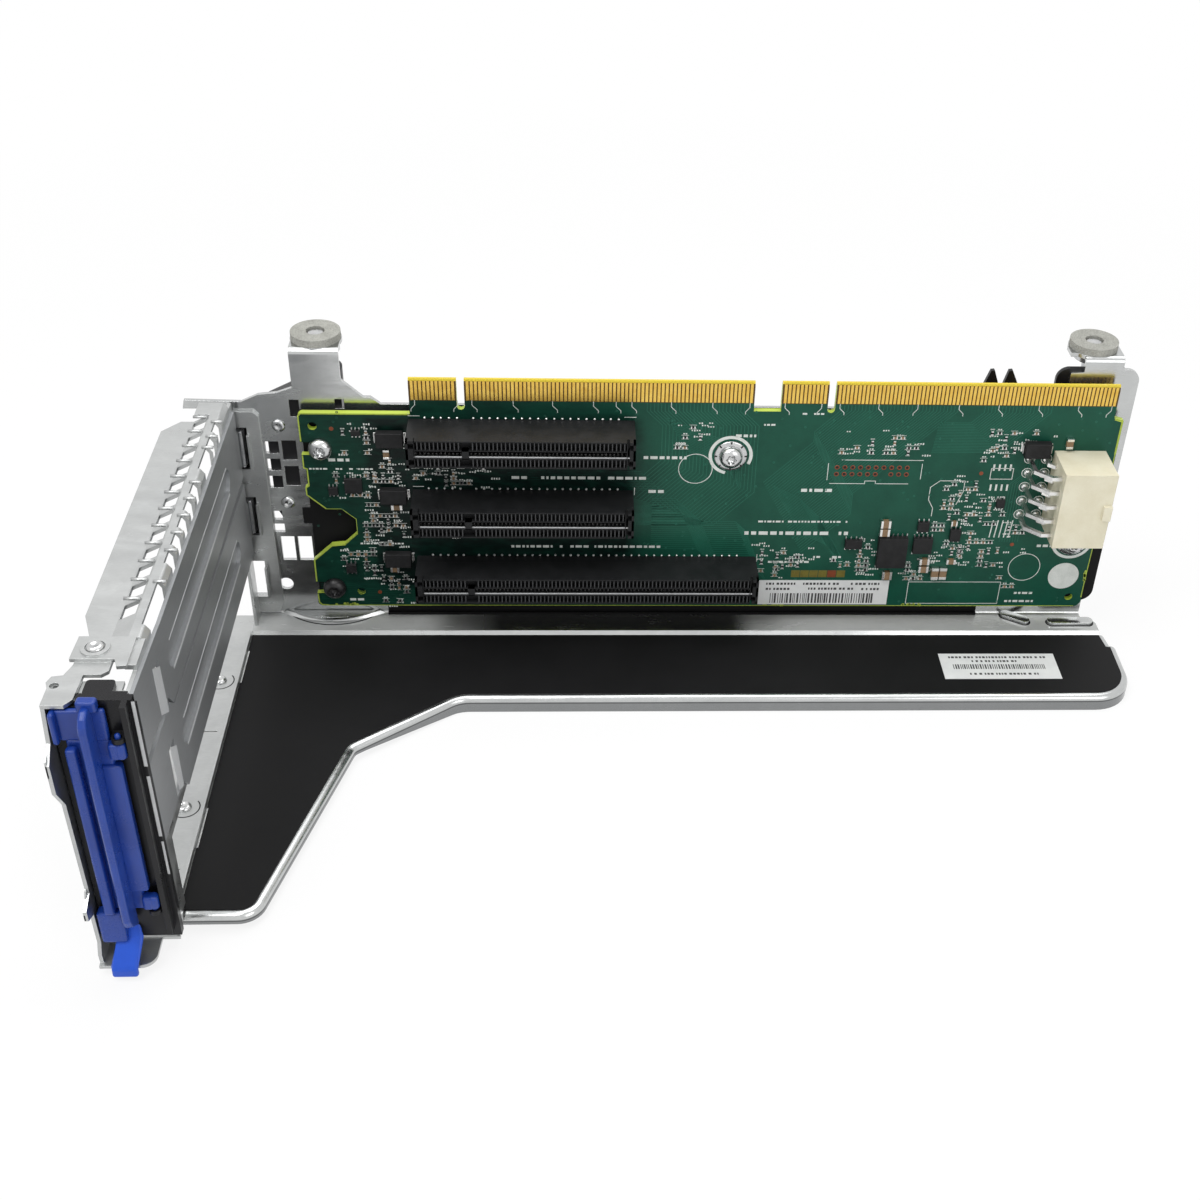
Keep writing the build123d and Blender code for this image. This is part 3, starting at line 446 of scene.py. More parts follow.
class Laminate(Finish):
    """Green board with a bare, yellowish cut edge, darker at its left and with painted shadow
    between its slots.
    """

    # Colour of the darker left part and of the painted shadow between the slots
    deep: ClassVar[Colour] = (0.0010, 0.0080, 0.0062)
    tint: ClassVar[Colour] = (0.10, 0.055, 0.012)
    bare: ClassVar[Colour] = (0.50, 0.62, 0.085)
    tip: ClassVar[Colour] = (0.74, 0.58, 0.055)
    gold_range: ClassVar[Spot] = (4.85, 10.15)
    soft: ClassVar[float] = 0.0001

    def colour(self, graph: Graph, base: Socket) -> Socket:
        """Show bare laminate on the cut edges and a tinted band under the gold contacts.

        Args:
            graph: the material's graph.
            base: the varied colour.

        Returns:
            The colour's socket.
        """
        facing = graph.axes(graph.add("ShaderNodeNewGeometry").outputs["Normal"])[1]
        cut = graph.ramp(graph.math("ABSOLUTE", facing), 0.45, 0.25)
        z = graph.axes(graph.place())[2]
        low, high = self.gold_range
        # Darker at the left, and painted shadow between the slots
        shaded = graph.mix(left_tone_and_slot_shadow(graph), base, self.deep)
        tip = graph.band(z, at(0, 0, high - 0.05)[2], ALL_OVER, self.soft)
        under = graph.band(z, at(0, 0, low)[2], at(0, 0, high)[2], self.soft)
        tinted = graph.mix(under, shaded, self.tint)
        return graph.mix(tip, graph.mix(cut, tinted, self.bare), self.tip)


class Masked(Finish):
    """Copper under the green mask, darker in the same places as the board: at its left and in the
    painted shadow between its slots.
    """

    # Colour of the darker left part and of the painted shadow between the slots
    deep: ClassVar[Colour] = (0.0018, 0.0140, 0.0105)

    def colour(self, graph: Graph, base: Socket) -> Socket:
        """Darken the colour where the board is darker, in the painted shadow between the slots
        too.
        """
        return graph.mix(left_tone_and_slot_shadow(graph), base, self.deep)


class Foam(Finish):
    """Open foam, with painted shade in its pores."""

    def colour(self, graph: Graph, base: Socket) -> Socket:
        """Darken the pores with painted shade.

        Args:
            graph: the material's graph.
            base: the varied colour.

        Returns:
            The colour's socket.
        """
        pore = graph.add("ShaderNodeTexVoronoi", {"Vector": graph.place(), "Scale": 2600.0})
        # Painted shade, darkest at the middle of each pore
        depth = graph.ramp(pore.outputs["Distance"], 0.1, 0.5)
        return graph.mix(depth, tuple(c * 0.5 for c in self.main), base)


FINISHES: dict[str, Finish] = {finish.name: finish for finish in (
    ZincSheet("zinc_sheet", (0.56, 0.57, 0.565), (0.45, 0.46, 0.46), (0.30, 0.42), metallic=0.9,
              patch=45, grain=3000, stretch=(0.2, 1, 1), share=0.35, bump=0.12, reach=0.00004,
              edge=0.00012),
    CageSheet("cage_zinc", (0.58, 0.59, 0.585), (0.49, 0.50, 0.50), (0.15, 0.26), metallic=0.95,
              patch=25, grain=3000, stretch=(0.1, 1, 1), share=0.35, bump=0.10, reach=0.00003,
              edge=0.00012),
    # Darker zinc of the slot covers: painted dark reflection on the same sheet
    Finish("cover_zinc_painted_reflection", (0.40, 0.41, 0.42), (0.33, 0.34, 0.35), (0.36, 0.46), metallic=0.7,
           patch=18, grain=3000, stretch=(1, 0.1, 1), share=0.25, bump=0.03, reach=0.00002),
    # Light steel for the covers' folded ends, and for painted highlights and painted light bars
    Finish("steel_and_painted_highlight", (0.66, 0.67, 0.68), (0.56, 0.57, 0.58), (0.4, 0.5), metallic=0.35,
           patch=120, grain=3000, bump=0.1, reach=0.00003),
    Finish("olive_pad", (0.20, 0.17, 0.025), (0.13, 0.10, 0.015), (0.35, 0.5), metallic=0.2,
           patch=500, grain=3000, share=0.4, bump=0.1, reach=0.00002),
    # Lighter black of the comb's ribs, the same moulding as the slot's body: painted light
    Finish("rib_black_painted_light", (0.040, 0.041, 0.043), (0.062, 0.063, 0.066), (0.4, 0.55), patch=500,
           grain=3500, share=0.4, bump=0.2, reach=0.00003, spec=0.3),
    # Lighter blue of the thumb tongue, the same moulding as the latch: painted light
    Finish("tongue_blue_painted_light", (0.018, 0.105, 0.66), (0.014, 0.080, 0.55), (0.26, 0.38), patch=90,
           grain=3500, share=0.25, bump=0.12, reach=0.00003, spec=0.35),
    Finish("bright_zinc", (0.70, 0.70, 0.69), (0.45, 0.46, 0.47), (0.16, 0.30), metallic=1.0,
           patch=300, grain=4000, share=0.4, bump=0.2),
    Finish("black_zinc", (0.012, 0.012, 0.013), (0.035, 0.034, 0.035), (0.22, 0.36), metallic=0.3,
           patch=300, grain=4000, share=0.4, bump=0.2, spec=0.4),
    Finish("black_film", (0.0065, 0.0065, 0.0068), (0.010, 0.010, 0.0105), (0.5, 0.62), patch=30,
           grain=5000, share=0.25, bump=0.1, reach=0.00003, spec=0.12),
    Finish("label_paper", (0.80, 0.81, 0.80), (0.70, 0.71, 0.71), (0.5, 0.65), patch=200,
           grain=6000, bump=0.1, reach=0.00002, spec=0.3),
    Finish("label_ink", (0.03, 0.03, 0.032), (0.09, 0.09, 0.09), (0.5, 0.6), patch=900, grain=6000,
           share=0.5, bump=0.1, reach=0.00001, spec=0.3),
    Laminate("green_laminate", (0.0085, 0.085, 0.052), (0.0060, 0.060, 0.038), (0.3, 0.42),
             patch=110, grain=1800, share=0.25, bump=0.08, reach=0.00003, spec=0.2),
    Finish("cut_laminate", (0.46, 0.58, 0.075), (0.30, 0.38, 0.05), (0.5, 0.65), patch=900,
           grain=5000, share=0.5, bump=0.3, spec=0.3),
    Masked("masked_copper", (0.022, 0.145, 0.095), (0.014, 0.11, 0.07), (0.3, 0.42), patch=200,
           grain=3000, bump=0.05, reach=0.00002, spec=0.2),
    Finish("board_print", (0.78, 0.80, 0.77), (0.58, 0.62, 0.58), (0.45, 0.6), patch=500,
           grain=5000, share=0.5, bump=0.1, reach=0.00002, spec=0.3),
    Finish("gold_plate", (0.86, 0.60, 0.14), (0.74, 0.45, 0.08), (0.22, 0.36), metallic=1.0,
           patch=400, grain=3500, stretch=(1, 1, 0.3), share=0.4, bump=0.1, reach=0.00002),
    Finish("bare_copper", (0.30, 0.075, 0.028), (0.20, 0.05, 0.02), (0.3, 0.45), metallic=0.4,
           patch=500, grain=4000, share=0.4, bump=0.1, reach=0.00002),
    Finish("connector_black", (0.010, 0.0105, 0.011), (0.019, 0.0195, 0.021), (0.4, 0.55),
           patch=250, grain=3500, stretch=(0.15, 1, 1), share=0.4, bump=0.2, reach=0.00003,
           edge=0.0001, spec=0.2),
    Finish("connector_cream", (0.80, 0.76, 0.60), (0.72, 0.67, 0.50), (0.38, 0.52), patch=160,
           grain=3000, share=0.25, bump=0.12, reach=0.00003, edge=0.00015, spec=0.35),
    Finish("tin", (0.86, 0.85, 0.83), (0.66, 0.66, 0.65), (0.22, 0.38), metallic=1.0, patch=500,
           grain=3500, share=0.4, bump=0.2, reach=0.00004),
    Finish("epoxy_black", (0.010, 0.010, 0.0105), (0.022, 0.022, 0.023), (0.4, 0.55), patch=500,
           grain=5000, share=0.4, bump=0.25, reach=0.00002, edge=0.00008, spec=0.22),
    Finish("ceramic_tan", (0.30, 0.20, 0.115), (0.21, 0.13, 0.07), (0.3, 0.45), patch=700,
           grain=5000, share=0.4, reach=0.00002, spec=0.3),
    Finish("moulded_black", (0.0075, 0.0075, 0.0085), (0.014, 0.014, 0.016), (0.25, 0.38),
           patch=90, grain=3000, reach=0.00004, edge=0.00018, spec=0.25),
    Finish("moulded_blue", (0.012, 0.055, 0.34), (0.009, 0.040, 0.26), (0.22, 0.32), patch=70,
           grain=3500, share=0.25, bump=0.12, reach=0.00003, spec=0.45),
    Foam("grey_foam", (0.47, 0.47, 0.43), (0.33, 0.33, 0.30), (0.8, 0.95), patch=300, grain=2600,
         share=0.5, bump=0.9, reach=0.0003, spec=0.2))}


class Palette:
    """The materials, each made once when first asked for."""

    def __init__(self) -> None:
        """Make the shared shader group."""
        self.variation = variation_group()
        self.made: dict[str, Material] = {}

    def __getitem__(self, name: str) -> Material:
        """Find a material.

        Args:
            name: its finish.

        Returns:
            The material.
        """
        if name not in self.made:
            self.made[name] = FINISHES[name].build(self.variation)
        return self.made[name]

    def dress(self, name: str, *nodes: str) -> None:
        """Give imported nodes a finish.

        Args:
            name: the finish.
            nodes: the nodes that get it.
        """
        for node in nodes:
            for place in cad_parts[node].material_slots:
                place.material = self[name]


class Form(Enum):
    """Shapes that the point tree can repeat."""

    DISC = "disc"
    DOME = "dome"
    RING = "ring"


class Trees:
    """Geometry Nodes trees for what repeats, and the way to turn their result into a mesh."""

    def __init__(self) -> None:
        """Build the trees."""
        self.rows = self._row_tree()
        self.chips = self._chip_tree()
        self.points = {form: self._point_tree(form) for form in Form}
        self.thread = self._thread_tree()

    @staticmethod
    def _start(name: str, **takes: object) -> Graph:
        """Start a geometry tree, its inputs named with _ for a space."""
        named = {label.replace("_", " "): value for label, value in takes.items()}
        return make_tree(name, "GeometryNodeTree", {"Geometry": None, **named}, {"Geometry": None})

    @staticmethod
    def _repeat(graph: Graph, points: Socket, shape: Socket,
                turn: Socket | None = None) -> bpy.types.NodeTree:
        """Put a shape at each point, and end in Realize Instances and Set Material.

        Args:
            graph: the tree's graph.
            points: where the shape is repeated.
            shape: what is repeated.
            turn: how each shape is turned.

        Returns:
            The tree.
        """
        inputs = {"Points": points, "Instance": shape}
        if turn:
            inputs["Rotation"] = turn
        placed = graph.out("GeometryNodeInstanceOnPoints", inputs)
        whole = graph.out("GeometryNodeRealizeInstances", {0: placed})
        dressed = graph.out("GeometryNodeSetMaterial",
                            {"Geometry": whole, "Material": graph.source["Finish"]})
        graph.link(dressed, graph.sink["Geometry"])
        return graph.tree

    def _row_tree(self) -> bpy.types.NodeTree:
        """Make the tree of blocks in a straight row.

        Returns:
            The tree.
        """
        graph = self._start("row_of_blocks", Start=(0, 0, 0), Step=(0.001, 0, 0), Count=2,
                            Size=(0.001, 0.001, 0.001), Finish=None)
        source = graph.source
        line = graph.out("GeometryNodeMeshLine", {
            "Count": source["Count"], "Start Location": source["Start"],
            "Offset": source["Step"]}, mode="OFFSET")
        block = graph.out("GeometryNodeMeshCube", {"Size": source["Size"]})
        return self._repeat(graph, line, block)

    def _chip_tree(self) -> bpy.types.NodeTree:
        """Make the tree of small two-ended parts, turned by the points' turn attribute.

        Returns:
            The tree.
        """
        graph = self._start("chip_parts", Length=0.001, Width=0.0005, Height=0.0004, Cap=0.0002,
                            Body_Finish=None, Cap_Finish=None)
        source, times = graph.source, "MULTIPLY"
        middle = graph.math("SUBTRACT", source["Length"], graph.math(times, source["Cap"], 2.0))
        size = graph.vector(middle, graph.math(times, source["Height"], 0.92),
                            graph.math(times, source["Width"], 0.96))
        body = graph.out("GeometryNodeMeshCube", {"Size": size})
        size = graph.vector(source["Cap"], source["Height"], source["Width"])
        cap = graph.out("GeometryNodeMeshCube", {"Size": size})
        cap = graph.out("GeometryNodeStoreNamedAttribute",
                        {"Geometry": cap, "Name": "cap", "Value": True},
                        data_type="BOOLEAN", domain="FACE")
        reach = graph.math(times, graph.math("SUBTRACT", source["Length"], source["Cap"]), 0.5)
        join = graph.add("GeometryNodeJoinGeometry", {0: body})
        for sign in (-1.0, 1.0):
            shift = graph.vector(graph.math(times, reach, sign))
            moved = graph.out("GeometryNodeTransform", {"Geometry": cap, "Translation": shift})
            graph.link(moved, join.inputs[0])
        turn = graph.out("GeometryNodeInputNamedAttribute", {"Name": "turn"}, data_type="FLOAT")
        spin = graph.out("FunctionNodeEulerToRotation", {0: graph.vector(0.0, turn)})
        placed = graph.out("GeometryNodeInstanceOnPoints", {
            "Points": source["Geometry"], "Instance": join.outputs[0], "Rotation": spin})
        whole = graph.out("GeometryNodeRealizeInstances", {0: placed})
        capped = graph.out("GeometryNodeInputNamedAttribute", {"Name": "cap"}, data_type="BOOLEAN")
        for label, chosen in (("Body Finish", {}), ("Cap Finish", {"Selection": capped})):
            whole = graph.out("GeometryNodeSetMaterial",
                              {"Geometry": whole, "Material": source[label], **chosen})
        graph.link(whole, graph.sink["Geometry"])
        return graph.tree

    def _point_tree(self, form: Form) -> bpy.types.NodeTree:
        """Make the tree of discs, domes or rings that lie on the board's face, one at each point.

        Args:
            form: the shape.

        Returns:
            The tree.
        """
        graph = self._start(f"{form.value}_at_points", Radius=0.001, Height=0.0001, Width=0.0002,
                            Sides=12, Finish=None)
        source = graph.source
        radius, height, sides = source["Radius"], source["Height"], source["Sides"]
        if form is Form.DISC:
            shape = graph.out("GeometryNodeMeshCylinder",
                              {"Vertices": sides, "Radius": radius, "Depth": height})
        elif form is Form.DOME:
            ball = graph.out("GeometryNodeMeshUVSphere",
                             {"Segments": sides, "Rings": 6, "Radius": radius})
            flat = graph.vector(1.0, 1.0, graph.math("DIVIDE", height, radius))
            shape = graph.out("GeometryNodeTransform", {"Geometry": ball, "Scale": flat})
        else:
            line = graph.out("GeometryNodeCurvePrimitiveCircle",
                             {"Resolution": sides, "Radius": radius})
            across = graph.out("GeometryNodeCurvePrimitiveQuadrilateral",
                               {0: source["Width"], 1: height})
            shape = graph.out("GeometryNodeCurveToMesh", {"Curve": line, "Profile Curve": across})
        spin = graph.out("FunctionNodeEulerToRotation", {0: (math.pi / 2, 0.0, 0.0)})
        return self._repeat(graph, source["Geometry"], shape, spin)

    def _thread_tree(self) -> bpy.types.NodeTree:
        """Make the tree of a screw thread, a thin ridge that climbs round an upright pin.

        Returns:
            The tree.
        """
        graph = self._start("thread", Radius=0.0018, Turns=4.0, Rise=0.002, Ridge=0.0002,
                            Finish=None)
        source = graph.source
        path = graph.out("GeometryNodeCurveSpiral", {
            "Resolution": 24, "Rotations": source["Turns"], "Start Radius": source["Radius"],
            "End Radius": source["Radius"], "Height": source["Rise"]})
        across = graph.out("GeometryNodeCurvePrimitiveCircle",
                           {"Resolution": 4, "Radius": source["Ridge"]})
        ridge = graph.out("GeometryNodeCurveToMesh",
                          {"Curve": path, "Profile Curve": across, "Fill Caps": True})
        return self._repeat(graph, source["Geometry"], ridge)

    @staticmethod
    def grow(tree: bpy.types.NodeTree, points: list[Point], turns: list[float] | None = None,
             **values: object) -> bpy.types.Mesh:
        """Run a tree on a set of points and keep the result as a plain mesh.

        Args:
            tree: the geometry tree.
            points: where it repeats its shape, in metres.
            turns: angle of each point's shape in the board's plane.
            values: the tree's inputs, their names with _ for a space.

        Returns:
            The mesh.
        """
        seeds = bpy.data.meshes.new("seeds")
        seeds.from_pydata(points, [], [])
        if turns:
            seeds.attributes.new("turn", "FLOAT", "POINT").data.foreach_set("value", turns)
        holder = bpy.data.objects.new("seeds", seeds)
        bpy.context.scene.collection.objects.link(holder)
        modifier = holder.modifiers.new("grow", "NODES")
        modifier.node_group = tree
        wanted = {name.replace("_", " "): value for name, value in values.items()}
        for item in tree.interface.items_tree:
            if item.item_type == "SOCKET" and item.in_out == "INPUT" and item.name in wanted:
                modifier[item.identifier] = wanted.pop(item.name)
        if wanted:
            raise ValueError(f"{tree.name} has no input {list(wanted)}")
        view = bpy.context.evaluated_depsgraph_get()
        grown = bpy.data.meshes.new_from_object(holder.evaluated_get(view), depsgraph=view)
        bpy.data.objects.remove(holder)
        return grown


class Piece:
    """One visible piece, gathered from parts and then set in the frame."""

    rounding_steps: ClassVar[int] = 3
    sharp: ClassVar[float] = math.radians(40)

    def __init__(self, name: str, slot: str, stands_for: tuple[str, ...] = (),
                 bevel: float = 0.0, body: str = "cage") -> None:
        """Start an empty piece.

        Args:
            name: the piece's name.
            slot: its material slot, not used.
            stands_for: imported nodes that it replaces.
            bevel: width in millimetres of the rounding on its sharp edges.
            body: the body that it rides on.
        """
        self.name, self.slot, self.stands_for = name, slot, stands_for
        self.bevel, self.body = bevel, body
        self.shape = bmesh.new()
        self.finishes: list[Material] = []

    def _index(self, finish: Material) -> int:
        """Find a finish's number in this piece.

        Args:
            finish: the finish, which is added where it is new.

        Returns:
            Its number.
        """
        if finish not in self.finishes:
            self.finishes.append(finish)
        return self.finishes.index(finish)

    def solid(self, points: list[Point], loops: list[tuple[int, ...]], finish: Material,
              smooth: bool = False) -> None:
        """Add faces.

        Args:
            points: corners in metres.
            loops: the faces, as numbers of corners.
            finish: their material.
            smooth: whether they are shaded smooth.
        """
        corners = [self.shape.verts.new(point) for point in points]
        number = self._index(finish)
        made = []
        for loop in loops:
            face = self.shape.faces.new([corners[i] for i in loop])
            face.material_index, face.smooth = number, smooth
            made.append(face)
        bmesh.ops.recalc_face_normals(self.shape, faces=made)

    def box(self, x0: float, x1: float, y0: float, y1: float, z0: float, z1: float,
            finish: Material) -> None:
        """Add a block between two corners, in millimetres from the datum.

        Args:
            x0: left end.
            x1: right end.
            y0: front.
            y1: back.
            z0: foot or top.
            z1: the other one.
            finish: its material.
        """
        points = [at(x, y, z) for x in (x0, x1) for y in (y0, y1) for z in sorted((z0, z1))]
        self.solid(points, [(0, 1, 3, 2), (4, 6, 7, 5), (0, 4, 5, 1), (2, 3, 7, 6), (0, 2, 6, 4),
                            (1, 5, 7, 3)], finish)

    def prism(self, outline: list[Point], along: Point, finish: Material,
              smooth: bool = False) -> None:
        """Add an outline drawn out along a direction.

        Args:
            outline: its points, in millimetres.
            along: the direction and length, in millimetres.
            finish: its material.
            smooth: whether it is shaded smooth.
        """
        n = len(outline)
        far = [tuple(p[i] + along[i] for i in range(3)) for p in outline]
        points = [at(*p) for p in outline + far]
        sides = [(i, (i + 1) % n, n + (i + 1) % n, n + i) for i in range(n)]
        ends = [tuple(range(n)), tuple(range(2 * n - 1, n - 1, -1))]
        self.solid(points, ends + sides, finish, smooth)

    def ribbon(self, line: list[Spot], width: float, finish: Material, y: float = 0.0,
               thick: float = 0.015, level: float | None = None) -> None:
        """Add a flat line on the board's face, or on a level face.

        Args:
            line: its points, x and z, or x and y on a level face.
            width: its width.
            finish: its material.
            y: the face that it lies on.
            thick: how far it stands in front of it.
            level: height of a level face that it lies on instead.
        """
        def put(a: float, b: float, out: float) -> Point:
            """Place a corner, out by some distance from the face."""
            return at(a, y - out, b) if level is None else at(a, b, level + out)

        sides = []
        for i, (x, z) in enumerate(line):
            before = Vector(line[i]) - Vector(line[max(i - 1, 0)])
            after = Vector(line[min(i + 1, len(line) - 1)]) - Vector(line[i])
            run = (before.normalized() + after.normalized()).normalized()
            straight = (after if after.length else before).normalized()
            reach = width / 2 / max(0.5, run.dot(straight))
            sides.append(((x - run.y * reach, z + run.x * reach),
                          (x + run.y * reach, z - run.x * reach)))
        points = [put(a, b, out) for out in (thick, 0.0) for pair in sides for a, b in pair]
        n, loops = 2 * len(sides), []
        for i in range(len(sides) - 1):
            a, b, c, d = 2 * i, 2 * i + 1, 2 * i + 3, 2 * i + 2
            loops += [(a, b, c, d), (n + d, n + c, n + b, n + a), (b, n + b, n + c, c),
                      (a, d, n + d, n + a)]
        loops += [(0, n, n + 1, 1), (n - 2, n - 1, 2 * n - 1, 2 * n - 2)]
        self.solid(points, loops, finish)

    def lathe(self, foot: Point, profile: list[Spot], finish: Material, sides: int = 32,
              upright: bool = False, lobes: float = 0.0) -> None:
        """Add a turned shape.

        Args:
            foot: centre of its foot, in millimetres.
            profile: radius and height above the foot, from the outside in, closed at the last.
            finish: its material.
            sides: number of sides.
            upright: height runs up, instead of out of the board's face.
            lobes: share by which the last two rings are scalloped, for a driver's recess.
        """
        points: list[Point] = []
        for ring, (radius, rise) in enumerate(profile):
            for i in range(sides):
                angle = 2 * math.pi * i / sides
                swell = 1 + lobes * math.cos(6 * angle) if ring >= len(profile) - 2 else 1.0
                a, b = radius * swell * math.cos(angle), radius * swell * math.sin(angle)
                points.append(at(foot[0] + a, foot[1] + b, foot[2] + rise) if upright
                              else at(foot[0] + a, foot[1] - rise, foot[2] + b))
        loops = [(r * sides + i, r * sides + (i + 1) % sides, (r + 1) * sides + (i + 1) % sides,
                  (r + 1) * sides + i) for r in range(len(profile) - 1) for i in range(sides)]
        last = (len(profile) - 1) * sides
        loops += [tuple(range(last, last + sides)), tuple(range(sides - 1, -1, -1))]
        self.solid(points, loops, finish, smooth=True)

    def rod(self, foot: Point, radius: float, high: float, finish: Material, sides: int,
            upright: bool = False) -> None:
        """Add a plain round rod."""
        self.lathe(foot, [(radius, 0.0), (radius, high)], finish, sides, upright)

    def absorb(self, mesh: bpy.types.Mesh) -> None:
        """Take in a grown mesh with its materials, and discard it.

        Args:
            mesh: the mesh.
        """
        start = len(self.shape.faces)
        numbers = [self._index(material) for material in mesh.materials]
        self.shape.from_mesh(mesh)
        self.shape.faces.ensure_lookup_table()
        for face in self.shape.faces[start:]:
            face.material_index = numbers[face.material_index] if numbers else 0
        bpy.data.meshes.remove(mesh)

    def close(self) -> None:
        """Make the object and give it its body and stand-ins."""
        mesh = bpy.data.meshes.new(self.name)
        self.shape.to_mesh(mesh)
        self.shape.free()
        for finish in self.finishes:
            mesh.materials.append(finish)
        made = bpy.data.objects.new(self.name, mesh)
        bpy.context.scene.collection.objects.link(made)
        if self.bevel:
            rounding = made.modifiers.new("rounding", "BEVEL")
            rounding.width, rounding.segments = self.bevel / PER_METRE, self.rounding_steps
            rounding.limit_method, rounding.angle_limit = "ANGLE", self.sharp
        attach(made, self.body)
        if self.stands_for:
            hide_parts(*self.stands_for)
        LOG.info("%s: %d faces", self.name, len(mesh.polygons))


@dataclass
class Workshop:
    """What every sub-assembly needs: the materials, the trees and short ways to use them."""

    palette: Palette
    trees: Trees

    def finishes(self, *names: str) -> list[Material]:
        """Return the materials of the named finishes."""
        return [self.palette[name] for name in names]

    def row(self, piece: Piece, start: Point, step: float, count: int, size: Point,
            finish: str) -> None:
        """Add a row of blocks along the board, in millimetres.

        Args:
            piece: the piece that gets them.
            start: middle of the first one.
            step: from one to the next.
            count: how many there are.
            size: size of each.
            finish: their finish.
        """
        piece.absorb(self.trees.grow(
            self.trees.rows, [], Start=at(*start), Step=(step / PER_METRE, 0, 0), Count=count,
            Size=tuple(side / PER_METRE for side in size), Finish=self.palette[finish]))

    def spread(self, piece: Piece, form: Form, points: list[Point], finish: str, sides: int,
               **sizes: float) -> None:
        """Add a small round shape at each of some points, in millimetres.

        Args:
            piece: the piece that gets them.
            form: the shape.
            points: where they are.
            finish: their finish.
            sides: number of sides of each.
            sizes: Radius and Height, and for a ring Width.
        """
        piece.absorb(self.trees.grow(
            self.trees.points[form], [at(*point) for point in points], Sides=sides,
            Finish=self.palette[finish],
            **{name: size / PER_METRE for name, size in sizes.items()}))


@dataclass
class CardEdges:
    """The two gold card edges with their contacts."""

    shop: Workshop
    starts: Spot = (-3.56, 88.45)
    short: int = 11
    long: int = 71
    key: float = 13.55
    first: float = 0.83
    low: float = 4.95
    high: float = 10.15
    width: float = 0.68
    thick: float = 0.05
    faces: tuple[tuple[str, float], ...] = (("front", -0.025), ("rear", 1.625))

    def runs(self) -> list[tuple[float, int]]:
        """First contact and number of contacts of each run."""
        return [run for left in self.starts for run in (
            (left + self.first, self.short), (left + self.key + self.first, self.long))]

    def build(self) -> None:
        """Make the contacts of both faces."""
        size = (self.width, self.thick, self.high - self.low)
        for label, y in self.faces:
            piece = Piece(f"gold_contacts_{label}", "gold_contact", (f"edge_contacts_{label}",))
            for x, count in self.runs():
                self.shop.row(piece, (x, y, (self.low + self.high) / 2), CONTACT_PITCH, count,
                              size, "gold_plate")
            piece.close()


@dataclass
class CardSlot:
    """One card slot: body with its groove, comb of contact openings and springs."""

    shop: Workshop
    name: str
    row: int
    length: float
    left: float = -4.0
    middle: float = -4.05
    high: float = 11.2
    half: float = 3.75
    groove: float = 0.95
    lip: float = 1.2
    comb: float = 3.45
    rib: float = 0.27
    deep: float = 1.7
    mouth: float = 8.0
    key: Spot = (13.6, 15.3)
    walls: Spot = (1.9, 1.5)
    spring: Point = (0.4, 1.2, 0.36)

    def build(self) -> None:
        """Make the slot's body and springs."""
        black, steel_and_highlight = self.shop.finishes("connector_black", "steel_and_painted_highlight")
        z = self.middle - self.row * SLOT_PITCH
        x0, x1, front = self.left, self.left + self.length, -self.high
        back, inside = front + self.deep, front + self.mouth
        piece = Piece(f"{self.name}_body", "black_connector", (self.name,))
        parts = ((x0 + self.walls[0], x0 + self.key[0]), (x0 + self.key[1], x1 - self.walls[1]))
        piece.box(x0, x1, inside, 0, z - self.half, z + self.half, black)
        for sign in (-1, 1):
            piece.box(x0, x1, back, inside, z + sign * self.groove, z + sign * self.half, black)
            for a, b in ((self.groove, self.lip), (self.comb, self.half)):
                piece.box(x0 + 2.1, x1 - 2.1, front, back, z + sign * a, z + sign * b, black)
            for a, b in parts:
                self._contacts(piece, a, int(round(b - a)) - 1, z, sign)
        for a, b in ((x0, x0 + 0.6), (x0 + 2.0, x0 + 2.2), (x1 - 2.2, x1 - 2.0), (x1 - 0.6, x1)):
            piece.box(a, b, front, back, z - self.half, z + self.half, black)
        for a, b, c in ((x0, x0 + self.walls[0], x0 + 2.1), (x1 - self.walls[1], x1, x1)):
            piece.box(a, b, front, inside, z - 1.5, z + 1.5, black)
            for sign in (-1, 1):
                piece.box(a, c, front, back, z + sign * 3.0, z + sign * self.half, black)
        piece.box(x0 + self.key[0], x0 + self.key[1], front, inside, z - self.lip, z + self.lip,
                  black)
        # Painted highlight: a light steel strip along each groove's lower lip
        for a, b in parts:
            piece.box(a, b, front + 0.3, front + 0.5, z - 0.94, z - 0.60, steel_and_highlight)
        piece.close()

    def _contacts(self, piece: Piece, left: float, count: int, z: float, sign: int) -> None:
        """Add the ribs between a row's contact openings, and its springs.

        Args:
            piece: the slot's body.
            left: left end of the row.
            count: number of ribs.
            z: height of the slot's middle.
            sign: 1 for the upper row, -1 for the lower one.
        """
        back = self.deep - self.high
        # The ribs get a lighter black than the body: painted light
        self.shop.row(piece, (left + 0.95, back - self.deep / 2 + 0.1,
                              z + sign * (self.lip + self.comb) / 2), CONTACT_PITCH, count,
                      (self.rib, self.deep - 0.2, self.comb - self.lip), "rib_black_painted_light")
        self.shop.row(piece, (left + 0.45, back + 1.0, z + sign * (self.groove - 0.16)),
                      CONTACT_PITCH, count + 1, self.spring, "tin")


